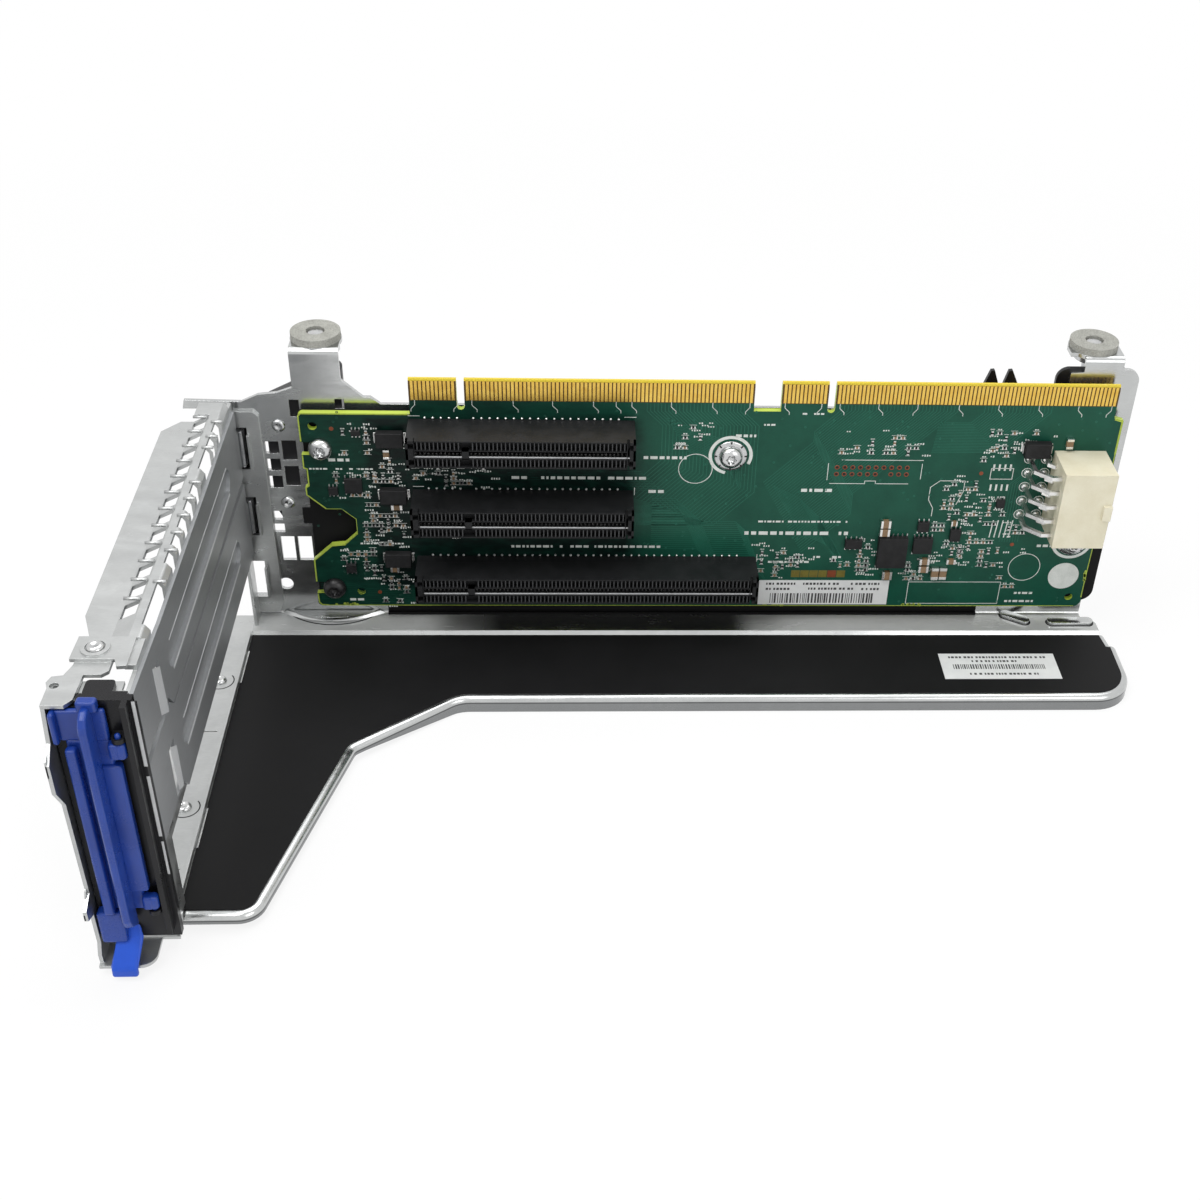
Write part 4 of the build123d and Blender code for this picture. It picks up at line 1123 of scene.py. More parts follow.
@dataclass
class BoardParts:
    """Packages, capacitors and small chips on the board's face.

    A package or module has x from and to, z from and to, height and number of leads a side. A
    capacitor has the same without leads, and a field the number of chips in it instead.
    """

    shop: Workshop
    seed: int = 7
    cell: Spot = (1.9, 1.45)
    leg: Point = (0.3, 0.24, 0.7)
    packages: tuple[tuple[float, float, float, float, float, int], ...] = (
        (-21.2, -16.6, -21.6, -17.2, 1.0, 4), (-25.3, -22.8, -22.2, -19.8, 1.0, 3),
        (-22.8, -20.0, -46.0, -43.2, 1.0, 3), (-18.4, -16.0, -5.0, -3.4, 1.0, 3),
        (108.4, 113.1, -37.9, -35.0, 1.2, 4), (136.1, 139.1, -35.4, -31.6, 1.2, 3),
        (147.0, 149.4, -25.0, -22.4, 1.1, 3), (127.2, 130.4, -32.6, -29.4, 1.0, 3))
    modules: tuple[tuple[float, float, float, float, float, int], ...] = (
        (117.2, 125.2, -43.4, -34.0, 2.0, 7), (126.6, 131.9, -39.2, -34.2, 1.4, 5))
    tantalum: tuple[tuple[float, float, float, float, float], ...] = (
        (-12.4, -5.4, -7.5, -3.4, 2.4), (-12.4, -5.4, -23.9, -19.8, 2.4),
        (-12.4, -5.4, -43.3, -39.2, 2.4), (151.6, 158.6, -9.2, -5.0, 2.4))
    ceramic: tuple[tuple[float, float, float, float, float], ...] = (
        (-10.8, -9.3, -11.4, -8.8, 1.0), (-9.8, -7.0, -26.4, -25.0, 1.0),
        (-11.2, -9.0, -45.6, -44.2, 1.0), (117.4, 120.0, -31.2, -29.0, 1.2),
        (117.4, 120.0, -33.8, -31.6, 1.2), (119.5, 122.1, -47.6, -45.2, 1.2),
        (129.1, 131.8, -42.8, -41.0, 1.2), (129.1, 131.8, -45.3, -43.4, 1.2),
        (132.8, 134.7, -47.5, -43.9, 1.2), (135.0, 136.9, -47.5, -43.9, 1.2),
        (136.4, 138.9, -42.6, -41.2, 1.1), (162.5, 164.2, -7.0, -4.2, 1.1),
        (136.1, 137.7, -30.6, -29.2, 0.9))
    fields: tuple[tuple[float, float, float, float, int], ...] = (
        (-27.0, -13.5, -16.5, -1.8, 22), (-24.0, -12.5, -26.0, -15.0, 18),
        (-24.0, -12.5, -47.0, -38.0, 18), (-17.5, -5.5, -38.0, -27.0, 20),
        (-16.0, -5.0, -56.0, -46.0, 16), (-16.0, -5.5, -19.0, -9.0, 16),
        (-4.0, 16.0, -14.6, -8.6, 20), (-4.0, 16.0, -19.4, -14.5, 10),
        (-4.0, 16.0, -34.9, -29.0, 16), (132.5, 142.0, -29.0, -17.0, 14),
        (139.0, 151.0, -44.0, -22.0, 30), (141.0, 152.0, -16.0, -7.0, 12),
        (112.0, 117.0, -50.0, -36.5, 12), (123.5, 134.5, -48.5, -39.5, 12),
        (131.0, 141.0, -43.0, -28.0, 16), (149.0, 160.0, -52.5, -29.5, 16),
        (104.0, 126.0, -9.6, -3.6, 12), (82.0, 98.0, -47.5, -38.0, 10),
        (142.0, 160.0, -8.0, -2.0, 8), (62.0, 72.0, -8.5, -1.0, 6),
        (88.0, 112.0, -47.0, -39.0, 12))
    chip: tuple[float, float, float, float] = (1.15, 0.6, 0.4, 0.28)
    joints: tuple[Spot, ...] = ((0.0, 48.0), (-SLOT_PITCH, 48.0), (-2 * SLOT_PITCH, 80.0))
    joint_pitch: float = 2.0

    def build(self) -> None:
        """Make all the parts."""
        self._packages()
        self._tantalum()
        self._ceramic()
        self._small_chips()
        self._solder()

    def _packages(self) -> None:
        """Black packages with their leads."""
        black = self.shop.palette["epoxy_black"]
        for label, node, items in (("logic_packages", "logic_chips", self.packages),
                                   ("module_packages", "power_modules", self.modules)):
            piece = Piece(label, "black_package", (node,), 0.12)
            for x0, x1, z0, z1, high, _ in items:
                piece.box(x0 + 0.1, x1 - 0.1, -high, -0.1, z0 + 0.1, z1 - 0.1, black)
            piece.close()
        legs = Piece("package_leads", "tin_pin")
        for x0, x1, z0, z1, _, leads in self.packages + self.modules:
            step = (x1 - x0 - 0.6) / max(leads - 1, 1)
            for z in (z0 - 0.25, z1 + 0.25):
                self.shop.row(legs, (x0 + 0.3, -0.12, z), step, leads, self.leg, "tin")
        legs.close()

    def _tantalum(self) -> None:
        """Tantalum capacitors with their bent ends."""
        black, tin = self.shop.finishes("epoxy_black", "tin")
        piece = Piece("tantalum_bodies", "black_package", ("tantalum_capacitors",), 0.15)
        ends = Piece("tantalum_ends", "tin_pin", (), 0.05)
        for x0, x1, z0, z1, high in self.tantalum:
            piece.box(x0 + 0.15, x1 - 0.15, -high, -0.3, z0, z1, black)
            z = (z0 + z1) / 2
            for x in (x0 - 0.3, x1 + 0.1):
                ends.box(x, x + 0.2, -high * 0.55, 0, z - 1.1, z + 1.1, tin)
                ends.box(x - 0.25, x + 0.45, -0.14, 0, z - 1.2, z + 1.2, tin)
        piece.close()
        ends.close()

    def _ceramic(self) -> None:
        """Ceramic capacitors with their plated ends."""
        tan, tin = self.shop.finishes("ceramic_tan", "tin")
        piece = Piece("ceramic_bodies", "capacitor_body", ("ceramic_capacitors",), 0.08)
        proud = 0.03
        for x0, x1, z0, z1, high in self.ceramic:
            piece.box(x0, x1, -high, 0, z0, z1, tan)
            cap = 0.24 * max(x1 - x0, z1 - z0)
            near = (x0 - proud, x1 + proud, z0 - proud, z1 + proud)
            if x1 - x0 >= z1 - z0:
                caps = ((near[0], x0 + cap, *near[2:]), (x1 - cap, near[1], *near[2:]))
            else:
                caps = ((*near[:2], near[2], z0 + cap), (*near[:2], z1 - cap, near[3]))
            for a, b, c, d in caps:
                piece.box(a, b, -high - proud, 0, c, d, tin)
        piece.close()

    def _small_chips(self) -> None:
        """Small resistors and capacitors in their fields, on some cells of a grid."""
        dice = random.Random(self.seed)
        taken = [item[:4] for item in
                 (*self.packages, *self.modules, *self.tantalum, *self.ceramic)]
        spots: dict[str, tuple[list[Point], list[float]]] = {
            "epoxy_black": ([], []), "ceramic_tan": ([], [])}
        marks: list[tuple[float, float, float]] = []
        wide, high = self.cell
        for x0, x1, z0, z1, count in self.fields:
            cells = [(x0 + 0.9 + wide * i, z0 + 0.7 + high * j)
                     for i in range(int((x1 - x0) / wide)) for j in range(int((z1 - z0) / high))]
            dice.shuffle(cells)
            for x, z in cells[:count]:
                if blocked(x, z, 1.0) or any(a - 0.9 < x < b + 0.9 and c - 0.7 < z < d + 0.7
                                             for a, b, c, d in taken):
                    continue
                turn = dice.choice((0.0, 0.0, math.pi / 2))
                points, turns = spots[dice.choice(("epoxy_black", "ceramic_tan"))]
                points.append(at(x, -0.2, z))
                turns.append(turn)
                marks.append((x, z, turn))
        piece = Piece("small_chips", "capacitor_body")
        for finish, (points, turns) in spots.items():
            sizes = zip(("Length", "Width", "Height", "Cap"), self.chip)
            piece.absorb(self.shop.trees.grow(
                self.shop.trees.chips, points, turns, Body_Finish=self.shop.palette[finish],
                Cap_Finish=self.shop.palette["tin"],
                **{name: size / PER_METRE for name, size in sizes}))
        piece.close()
        self._marks(marks, dice)

    def _marks(self, marks: list[tuple[float, float, float]], dice: random.Random) -> None:
        """Print two lines beside each small chip, and two dashes above some of them.

        Args:
            marks: place and turn of each chip.
            dice: source of the choice.
        """
        ink = self.shop.palette["board_print"]
        frames = Piece("chip_marks", "board_laminate")
        for x, z, turn in marks:
            a, b = (0.95, 0.55) if turn == 0 else (0.55, 0.95)
            for side in (b, -b):
                frames.ribbon([(x - a, z + side), (x + a, z + side)], 0.11, ink)
            if dice.random() < 0.6:
                for left, right in ((-0.5, -0.1), (0.1, 0.5)):
                    frames.ribbon([(x + left, z + 0.95), (x + right, z + 0.95)], 0.32, ink)
        frames.close()

    def _solder(self) -> None:
        """Rows of solder joints above the slots and at the feet of the power pins."""
        piece = Piece("solder_joints", "tin_pin")
        points = [(self.joint_pitch * i, -0.03, z) for z, last in self.joints
                  for i in range(int(last / self.joint_pitch) + 1) if i != 5]
        self.shop.spread(piece, Form.DOME, points, "tin", 10, Radius=0.36, Height=0.4)
        feet = [(EDGE_END - back, -0.02, -18.85 + 4.2 * k) for back in (15.35, 19.75)
                for k in range(-2, 3)]
        self.shop.spread(piece, Form.DOME, feet, "tin", 20, Radius=1.0, Height=0.8)
        self.shop.spread(piece, Form.RING, feet, "board_print", 28, Radius=1.35, Width=0.22,
                         Height=0.05)
        piece.close()


@dataclass
class BoardPrint:
    """What is printed, drilled and etched on the board: rings, outlines, dashes, pads, traces.

    A ring or collar has its middle and radius or start. A caption has x from and to, height of
    its line and size. A bundle of traces has its first corner, the step from trace to trace,
    their number, and legs, each with its run and what that grows by from trace to trace.
    """

    shop: Workshop
    header: Point = (104.2, -13.4, 2.02)
    rings: tuple[Point, ...] = ((67.8, -14.1, 4.3), (158.1, -44.1, 4.3))
    collars: tuple[Point, ...] = ((76.6, -10.1, -28.0), (169.8, -35.6, 120.0))
    disc: Spot = (169.4, -46.9)
    dots: tuple[Spot, ...] = ((-23.1, -3.3), (-14.6, -52.6), (141.9, -14.9), (153.6, -36.8))
    line: float = 0.18
    fine_line: float = 0.16
    groups: int = 330
    holes: int = 220
    outlines: tuple[tuple[Spot, ...], ...] = (
        ((101.9, -17.2), (101.9, -12.2)), ((105.2, -11.2), (126.4, -11.2)),
        ((126.2, -12.2), (126.2, -16.8)),
        ((102.6, -18.2), (111.8, -18.2), (111.8, -17.4), (114.6, -17.4), (114.6, -18.2),
         (123.2, -18.2)),
        ((127.2, -49.0), (152.5, -49.0), (152.5, -56.1), (127.2, -56.1), (127.2, -49.0)),
        ((144.4, -13.4), (150.2, -13.4), (150.2, -16.6), (144.4, -16.6), (144.4, -13.4)),
        ((131.5, -17.2), (138.0, -17.2), (138.0, -20.5), (136.6, -24.5)),
        ((131.5, -17.2), (129.2, -19.2), (129.2, -23.0), (130.6, -25.5), (130.6, -28.0)),
        ((-4.0, 1.2), (-4.0, 0.5), (-1.2, 0.5)), ((52.4, 0.6), (49.4, 0.6)),
        ((-4.0, -19.8), (-1.2, -19.8)), ((52.4, -19.8), (52.4, -22.0)),
        ((85.4, -40.2), (85.4, -42.5)))
    guides: tuple[float, ...] = (
        -2.2, 8.3, 11.8, 21.9, 31.6, 41.7, 47.3, 51.2, 61.0, 71.3, 80.6, 89.4, 98.6, 103.2, 113.0,
        122.9, 133.4, 143.5, 153.8, 163.9, 172.4)
    rims: tuple[tuple[float, tuple[Spot, ...]], ...] = (
        (0.34, ((-3.7, 0.84), (-30.3, 0.84), (-30.95, 0.1), (-30.9, -7.0))),
        (0.32,
         ((-30.9, -11.0), (-30.9, -14.6), (-30.1, -14.9), (-30.1, -19.8), (-30.9, -20.4),
          (-30.9, -22.5), (-26.4, -26.6))),
        (0.14,
         ((-26.4, -26.65), (-22.5, -26.65), (-19.05, -29.75), (-19.05, -34.25), (-22.4, -37.5))),
        (0.36, ((-22.4, -37.6), (-26.0, -38.0), (-30.85, -42.5), (-30.9, -49.2))),
        (0.32, ((-30.9, -53.2), (-30.8, -55.9), (-30.1, -56.75), (-28.5, -56.8))),
        (0.2, ((-28.5, -56.88), (174.0, -56.88))),
        (0.5, ((173.9, 1.2), (175.95, 0.55), (175.95, -9.0))),
        (0.25, ((175.95, -9.0), (176.0, -20.0), (175.65, -44.0), (175.6, -54.0))))
    scars: tuple[Spot, ...] = ((-26.5, -20.6), (88.0, 93.7), (126.3, 132.0))
    captions: tuple[Field, ...] = (
        (54.5, 66.0, -10.9, 1.5), (19.0, 55.5, -17.0, 1.5), (85.0, 109.0, -29.9, 1.0),
        (81.6, 109.6, -33.5, 1.9), (20.5, 59.5, -37.9, 1.3), (56.0, 59.5, -20.9, 1.6),
        (95.5, 104.0, -20.3, 1.7), (77.6, 83.5, -4.4, 1.4), (160.4, 164.6, -37.2, 1.4),
        (155.6, 161.5, -52.6, 1.2), (154.5, 162.5, -55.3, 1.2), (-24.6, -19.4, -12.2, 1.5),
        (-29.6, -14.0, -14.8, 0.8), (-18.5, -7.5, -37.2, 0.8), (-22.6, -18.6, -55.0, 1.3),
        (88.5, 99.0, -42.6, 1.1), (100.5, 108.0, -41.0, 1.1), (84.5, 88.0, -1.2, 0.9),
        (94.0, 100.0, 2.0, 0.9))
    bundles: tuple[tuple[Spot, Spot, int, tuple[Field, ...]], ...] = (
        ((55.0, 4.6), (0.9, 0.0), 28,
         ((0.0, -2.2, 0, 0), (4.0, -4.0, 0.0, 0.0), (0, -10, 0, -0.35), (-10.0, -10.0, 0, 0),
          (-8, 0, -0.5, 0))),
        ((103.5, 4.6), (0.9, 0.0), 34,
         ((0.0, -1.6, 0, 0), (-6.0, -6.0, -0.55, -0.55), (0, -3.0, 0, -0.1),
          (-12.0, -12.0, 0, 0))),
        ((140.0, 4.6), (0.9, 0.0), 20,
         ((0.0, -1.8, 0, 0), (-3.0, -3.0, -0.45, -0.45), (-8.0, 0, -0.5, 0))),
        ((57.0, -23.0), (0.0, -0.62), 26,
         ((6.0, 0, 0.25, 0), (7.0, -7.0, 0, 0), (9.0, 0, 0, 0), (3.0, -3.0, 0, 0))),
        ((88.0, -19.0), (0.35, -0.62), 24,
         ((7.0, -3.5, 0, 0), (6.0, -6.0, 0, 0), (0, -4.0, 0, 0))),
        ((-30.0, -50.0), (0.0, -0.6), 9, ((9.0, 0, 0, 0), (3.0, -1.5, 0, 0), (90.0, 0, 0, 0))),
        ((60.0, 0.5), (0.35, -0.62), 16, ((14.0, -6.0, 0, 0), (0, -5.0, 0, 0))),
        ((154.0, -11.0), (0.7, 0.0), 8, ((0, -3, 0, 0), (-4.0, -4.0, 0, 0), (0, -18.0, 0, 0))),
        ((20.0, -12.0), (0.0, -0.5), 12, ((20.0, 0, 0.5, 0), (6.0, -3.0, 0, 0), (8.0, 0, 0, 0))))

    def build(self) -> None:
        """Make the print, the pads and the traces."""
        self._rings()
        self._pads()
        self._header()
        self._lines()
        self._captions()
        self._traces()

    def _rings(self) -> None:
        """Printed circles, the plain disc and the sighting dots."""
        piece = Piece("printed_rings", "board_laminate")
        for x, z, radius in self.rings:
            self.shop.spread(piece, Form.RING, [(x, ON_FACE, z)], "board_print", 48,
                             Radius=radius, Width=0.2, Height=0.03)
        x, z = self.disc
        self.shop.spread(piece, Form.DISC, [(x, ON_FACE, z)], "board_print", 48, Radius=4.2,
                         Height=0.03)
        for x, z, start in self.collars:
            piece.ribbon(arc((x, z), 5.2, start, 285, 40), 0.85, self.shop.palette["board_print"])
        piece.close()
        piece = Piece("sighting_dots", "gold_contact")
        self.shop.spread(piece, Form.DISC, [(x, ON_FACE, z) for x, z in self.dots], "bare_copper",
                         20, Radius=0.55, Height=0.04)
        piece.close()

    def _pads(self) -> None:
        """Row of six bare pads below the middle, one of them redder."""
        olive, copper = self.shop.finishes("olive_pad", "bare_copper")
        piece = Piece("olive_pads", "gold_contact")
        for k, finish in enumerate((olive, olive, olive, olive, copper, olive)):
            piece.box(95.0 + 2.45 * k, 97.3 + 2.45 * k, -0.03, 0.0, -47.5, -45.3, finish)
        piece.close()

    def _header(self) -> None:
        """Unfitted header: two rows of drilled pads in a printed outline."""
        x0, z0, step = self.header
        points = [(x0 + step * i, ON_FACE, z0 - 2.0 * j) for i in range(10) for j in range(2)
                  if (i, j) != (6, 1)]
        piece = Piece("header_pads", "gold_contact")
        self.shop.spread(piece, Form.RING, points, "bare_copper", 20, Radius=0.5, Width=0.28,
                         Height=0.04)
        self.shop.spread(piece, Form.DISC, points, "epoxy_black", 20, Radius=0.38, Height=0.05)
        piece.close()

    def _lines(self) -> None:
        """Printed outlines, the guide lines under the gold edges and two small bar patterns."""
        ink = self.shop.palette["board_print"]
        piece = Piece("printed_lines", "board_laminate")
        for line in self.outlines:
            piece.ribbon(line, self.line, ink)
        self._bare_rim()
        for x in self.guides:
            lean = 1.2 if int(x) % 2 else -1.0
            piece.ribbon([(x, 4.9), (x, 3.6), (x + lean, 2.4), (x + lean, 1.7)], self.fine_line,
                         ink)
        for k in range(4):
            x = 145.0 + 1.45 * k
            for z in (-12.2, -18.2):
                piece.ribbon([(x, z), (x, z - 1.9)], 0.5, ink)
        for k in range(5):
            piece.ribbon([(147.4 + 1.3 * k, -29.2), (147.0 + 1.3 * k, -34.6)], 0.3, ink)
        piece.close()

    def _bare_rim(self) -> None:
        """Bare laminate along the outline, and the scars where the board left its panel."""
        piece = Piece("bare_rim", "board_laminate")
        for width, line in self.rims:
            piece.ribbon(line, width, self.shop.palette["cut_laminate"])
        dice = random.Random(17)
        spots = [(dice.uniform(a, b), ON_FACE, -56.6 + dice.uniform(-0.2, 0.25))
                 for a, b in self.scars for _ in range(9)]
        spots += [(175.4 + dice.uniform(-0.2, 0.2), ON_FACE, dice.uniform(-49.5, -45.0))
                  for _ in range(8)]
        self.shop.spread(piece, Form.DISC, spots, "cut_laminate", 8, Radius=0.38, Height=0.06)
        piece.close()

    def _captions(self) -> None:
        """Plain dashes of the print, in rows and in small groups among the chips."""
        ink = self.shop.palette["board_print"]
        dice = random.Random(11)
        piece = Piece("caption_dashes", "board_laminate")
        for x, end, z, high in self.captions:
            while x < end - high * 0.4:
                wide = high * dice.uniform(0.35, 1.3)
                if dice.random() > 0.14:
                    piece.ribbon([(x, z), (x + wide, z)], high * 0.55, ink)
                x += wide + high * 0.35
        for _ in range(self.groups):
            x0, x1, z0, z1 = dice.choice(BoardParts.fields)[:4]
            x, z = dice.uniform(x0, x1), dice.uniform(z0 - 1.5, z1 + 1.5)
            if blocked(x, z, 0.4) or blocked(x + 2.0, z, 0.4):
                continue
            for k in range(dice.randint(2, 4)):
                start = x + 0.62 * k
                piece.ribbon([(start, z), (start + 0.36, z)], dice.choice((0.55, 0.35)), ink)
        piece.close()

    def _traces(self) -> None:
        """Bundles of copper traces under the green mask, with their through holes."""
        copper = self.shop.palette["masked_copper"]
        piece = Piece("copper_traces", "board_laminate")
        for start, step, count, legs in self.bundles:
            for i in range(count):
                line = [(start[0] + step[0] * i, start[1] + step[1] * i)]
                for dx, dz, ex, ez in legs:
                    line.append((line[-1][0] + dx + ex * i, line[-1][1] + dz + ez * i))
                line = [(x, z) for x, z in line if -30.5 < x < 175 and -56.5 < z < 5]
                if len(line) > 1:
                    piece.ribbon(line, self.fine_line, copper, thick=0.008)
        dice = random.Random(5)
        holes = []
        while len(holes) < self.holes:
            x, z = dice.uniform(-29, 174), dice.uniform(-55.5, 3)
            if not (-5 < x < 53 and -49 < z < 0.5):
                holes.append((x, -0.006, z))
        self.shop.spread(piece, Form.RING, holes, "masked_copper", 10, Radius=0.24, Width=0.18,
                         Height=0.02)
        piece.close()


@dataclass
class Labels:
    """The two white labels with plain bars and dashes on them."""

    shop: Workshop
    board_front: float = -0.12
    deck_top: float = -62.63
    board_dashes: tuple[Point, ...] = (
        (88.5, 96.0, -49.6), (98.5, 108.5, -49.6), (111.5, 119.5, -49.6), (88.5, 95.0, -51.3),
        (100.0, 112.5, -51.2), (114.5, 119.5, -51.3))
    deck_dashes: tuple[Point, ...] = (
        (137.0, 163.0, -15.8), (143.0, 155.0, -17.5), (141.5, 160.5, -23.0))

    def build(self) -> None:
        """Dress the labels and print their bars."""
        self.shop.palette.dress("label_paper", "deck_label", "board_label")
        ink = self.shop.palette["label_ink"]
        dice = random.Random(3)
        piece, front = Piece("board_label_bars", "paper_label"), self.board_front
        self._fill(dice, 89.8, 117.6, (0.2, 0.2, 0.35, 0.5), (0.22, 0.3, 0.45),
                   lambda a, b: piece.box(a, b, front - 0.02, front, -55.9, -52.7, ink))
        for x0, x1, z in self.board_dashes:
            self._fill(dice, x0, x1, None, (0.3, 0.3, 0.7), lambda a, b: piece.box(
                a, b, front - 0.015, front, z - 0.35, z + 0.35, ink))
        piece.close()
        piece, top = Piece("deck_label_bars", "paper_label"), self.deck_top
        self._fill(dice, 137.6, 162.4, (0.22, 0.22, 0.4), (0.25, 0.35),
                   lambda a, b: piece.box(a, b, -20.9, -18.9, top, top + 0.02, ink))
        for x0, x1, y in self.deck_dashes:
            self._fill(dice, x0, x1, None, (0.3, 0.3, 0.7), lambda a, b: piece.box(
                a, b, y - 0.4, y + 0.4, top, top + 0.015, ink))
        piece.close()

    @staticmethod
    def _fill(dice: random.Random, x: float, end: float, widths: tuple[float, ...] | None,
              gaps: tuple[float, ...], put: Callable[[float, float], None]) -> None:
        """Fill a line with bars or dashes.

        Args:
            dice: source of the widths and gaps.
            x: where the line starts.
            end: where it ends.
            widths: widths of bars, or None for dashes of any width.
            gaps: gaps between them.
            put: draws one from its left to its right end.
        """
        while x < end:
            wide = dice.choice(widths) if widths else dice.uniform(0.4, 0.8)
            put(x, x + wide)
            x += wide + dice.choice(gaps)


@dataclass
class Fasteners:
    """Board screws with their washers, and the rivets. A screw has its kind, place and seat."""

    shop: Workshop
    screws: tuple[tuple[str, float, float, float], ...] = (
        ("bright", -26.3, -9.0, 0.0), ("bright", 76.6, -10.1, 0.6),
        ("bright", 169.8, -35.6, 0.6), ("black", -26.3, -51.2, 0.0))
    head: tuple[Spot, ...] = ((3.0, 0.0), (3.0, 0.35), (2.9, 0.9), (2.6, 1.45), (2.1, 1.85),
                              (1.55, 2.05), (1.25, 2.1), (1.2, 2.05), (1.15, 0.9))
    washer: tuple[Spot, ...] = ((4.2, 0.0), (4.2, 0.35), (4.0, 0.5), (3.1, 0.6), (1.6, 0.6))
    dome: tuple[Spot, ...] = ((1.0, 0.0), (0.95, 0.3), (0.8, 0.55), (0.55, 0.68), (0.4, 0.62),
                              (0.3, 0.5))
    wall: float = 3.6
    back: float = 4.6
    wall_rivets: tuple[Spot, ...] = ((-36.6, -4.5), (-36.5, -27.0))
    panel_rivets: tuple[Point, ...] = (
        (-53.4, -25.9, FLANGE), (-53.4, -73.4, FLANGE), (-56.0, -99.8, 4.0))

    def build(self) -> None:
        """Make the heads, washers and rivet heads."""
        self._screws()
        self._washers()
        self.shop.palette.dress("bright_zinc", "standoffs")
        self._rivets()

    def _screws(self) -> None:
        """Screw heads with their recess, and the shanks in the board."""
        for label, node in (("bright", "board_screws"), ("black", "board_screw_black")):
            finish = self.shop.palette[f"{label}_zinc"]
            piece = Piece(f"screw_heads_{label}", f"{label}_screw", (node,))
            for kind, x, z, seat in self.screws:
                if kind == label:
                    piece.lathe((x, -seat, z), self.head, finish, 48, lobes=0.14)
                    piece.rod((x, self.back, z), 1.5, self.back + seat, finish, 24)
            piece.close()

    def _washers(self) -> None:
        """Toothed washers under the raised heads."""
        bright, black = self.shop.finishes("bright_zinc", "black_zinc")
        piece = Piece("washers", "bright_screw", ("board_washers",))
        for _, x, z, seat in self.screws:
            if not seat:
                continue
            piece.lathe((x, 0.0, z), self.washer, bright, 40)
            for k in range(8):
                a, b = math.cos(k * math.pi / 4), math.sin(k * math.pi / 4)
                piece.ribbon([(x + 3.2 * a, z + 3.2 * b), (x + 4.15 * a, z + 4.15 * b)], 0.42,
                             black, y=-0.4, thick=0.16)
        piece.close()

    def _rivets(self) -> None:
        """Rivets in the wall and in the rear panel."""
        bright = self.shop.palette["bright_zinc"]
        piece = Piece("wall_rivet_heads", "bright_screw", ("wall_rivets",))
        for x, z in self.wall_rivets:
            piece.lathe((x, self.wall, z), [(r * 1.75, h * 1.1) for r, h in self.dome], bright, 28)
            piece.rod((x, self.wall + 4.2, z), 1.1, 4.1, bright, 20)
        piece.close()
        piece = Piece("panel_rivet_heads", "bright_screw", ("panel_rivets",))
        for x, y, z in self.panel_rivets:
            piece.lathe((x, y, z), [(r * 1.8, h * 1.4) for r, h in self.dome], bright, 28, True)
            piece.rod((x, y, z - 1.1), 1.1, 1.2, bright, 20, True)
        piece.close()


@dataclass
class Captives:
    """Captive screws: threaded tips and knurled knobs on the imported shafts."""

    shop: Workshop
    y: float = 10.4
    tip: float = 15.4
    knob: float = 4.55
    tooth: tuple[float, float, float] = (0.22, 0.25, 5.6)
    teeth: int = 36
    sides: tuple[tuple[str, float, float], ...] = (
        ("left", -26.3, -38.2), ("right", 168.0, -26.4))

    def build(self) -> None:
        """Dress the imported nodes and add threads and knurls."""
        bright = self.shop.palette["bright_zinc"]
        half, proud, long = self.tooth
        for label, x, low in self.sides:
            self.shop.palette.dress("bright_zinc", f"captive_screw_{label}",
                                    f"screw_collar_{label}")
            piece = Piece(f"thread_{label}", "bright_screw", body=f"screw_{label}")
            piece.absorb(self.shop.trees.grow(
                self.shop.trees.thread, [at(x, self.y, self.tip)], Radius=0.0018, Turns=4.0,
                Rise=0.0022, Ridge=0.00012, Finish=bright))
            for k in range(self.teeth):
                angle = 2 * math.pi * k / self.teeth
                a, b = math.cos(angle), math.sin(angle)
                foot = [(x + a * out - b * side, self.y + b * out + a * side, low)
                        for out, side in ((self.knob, half), (self.knob + proud, 0.0),
                                          (self.knob, -half))]
                piece.prism(foot, (0, 0, long), bright)
            piece.close()


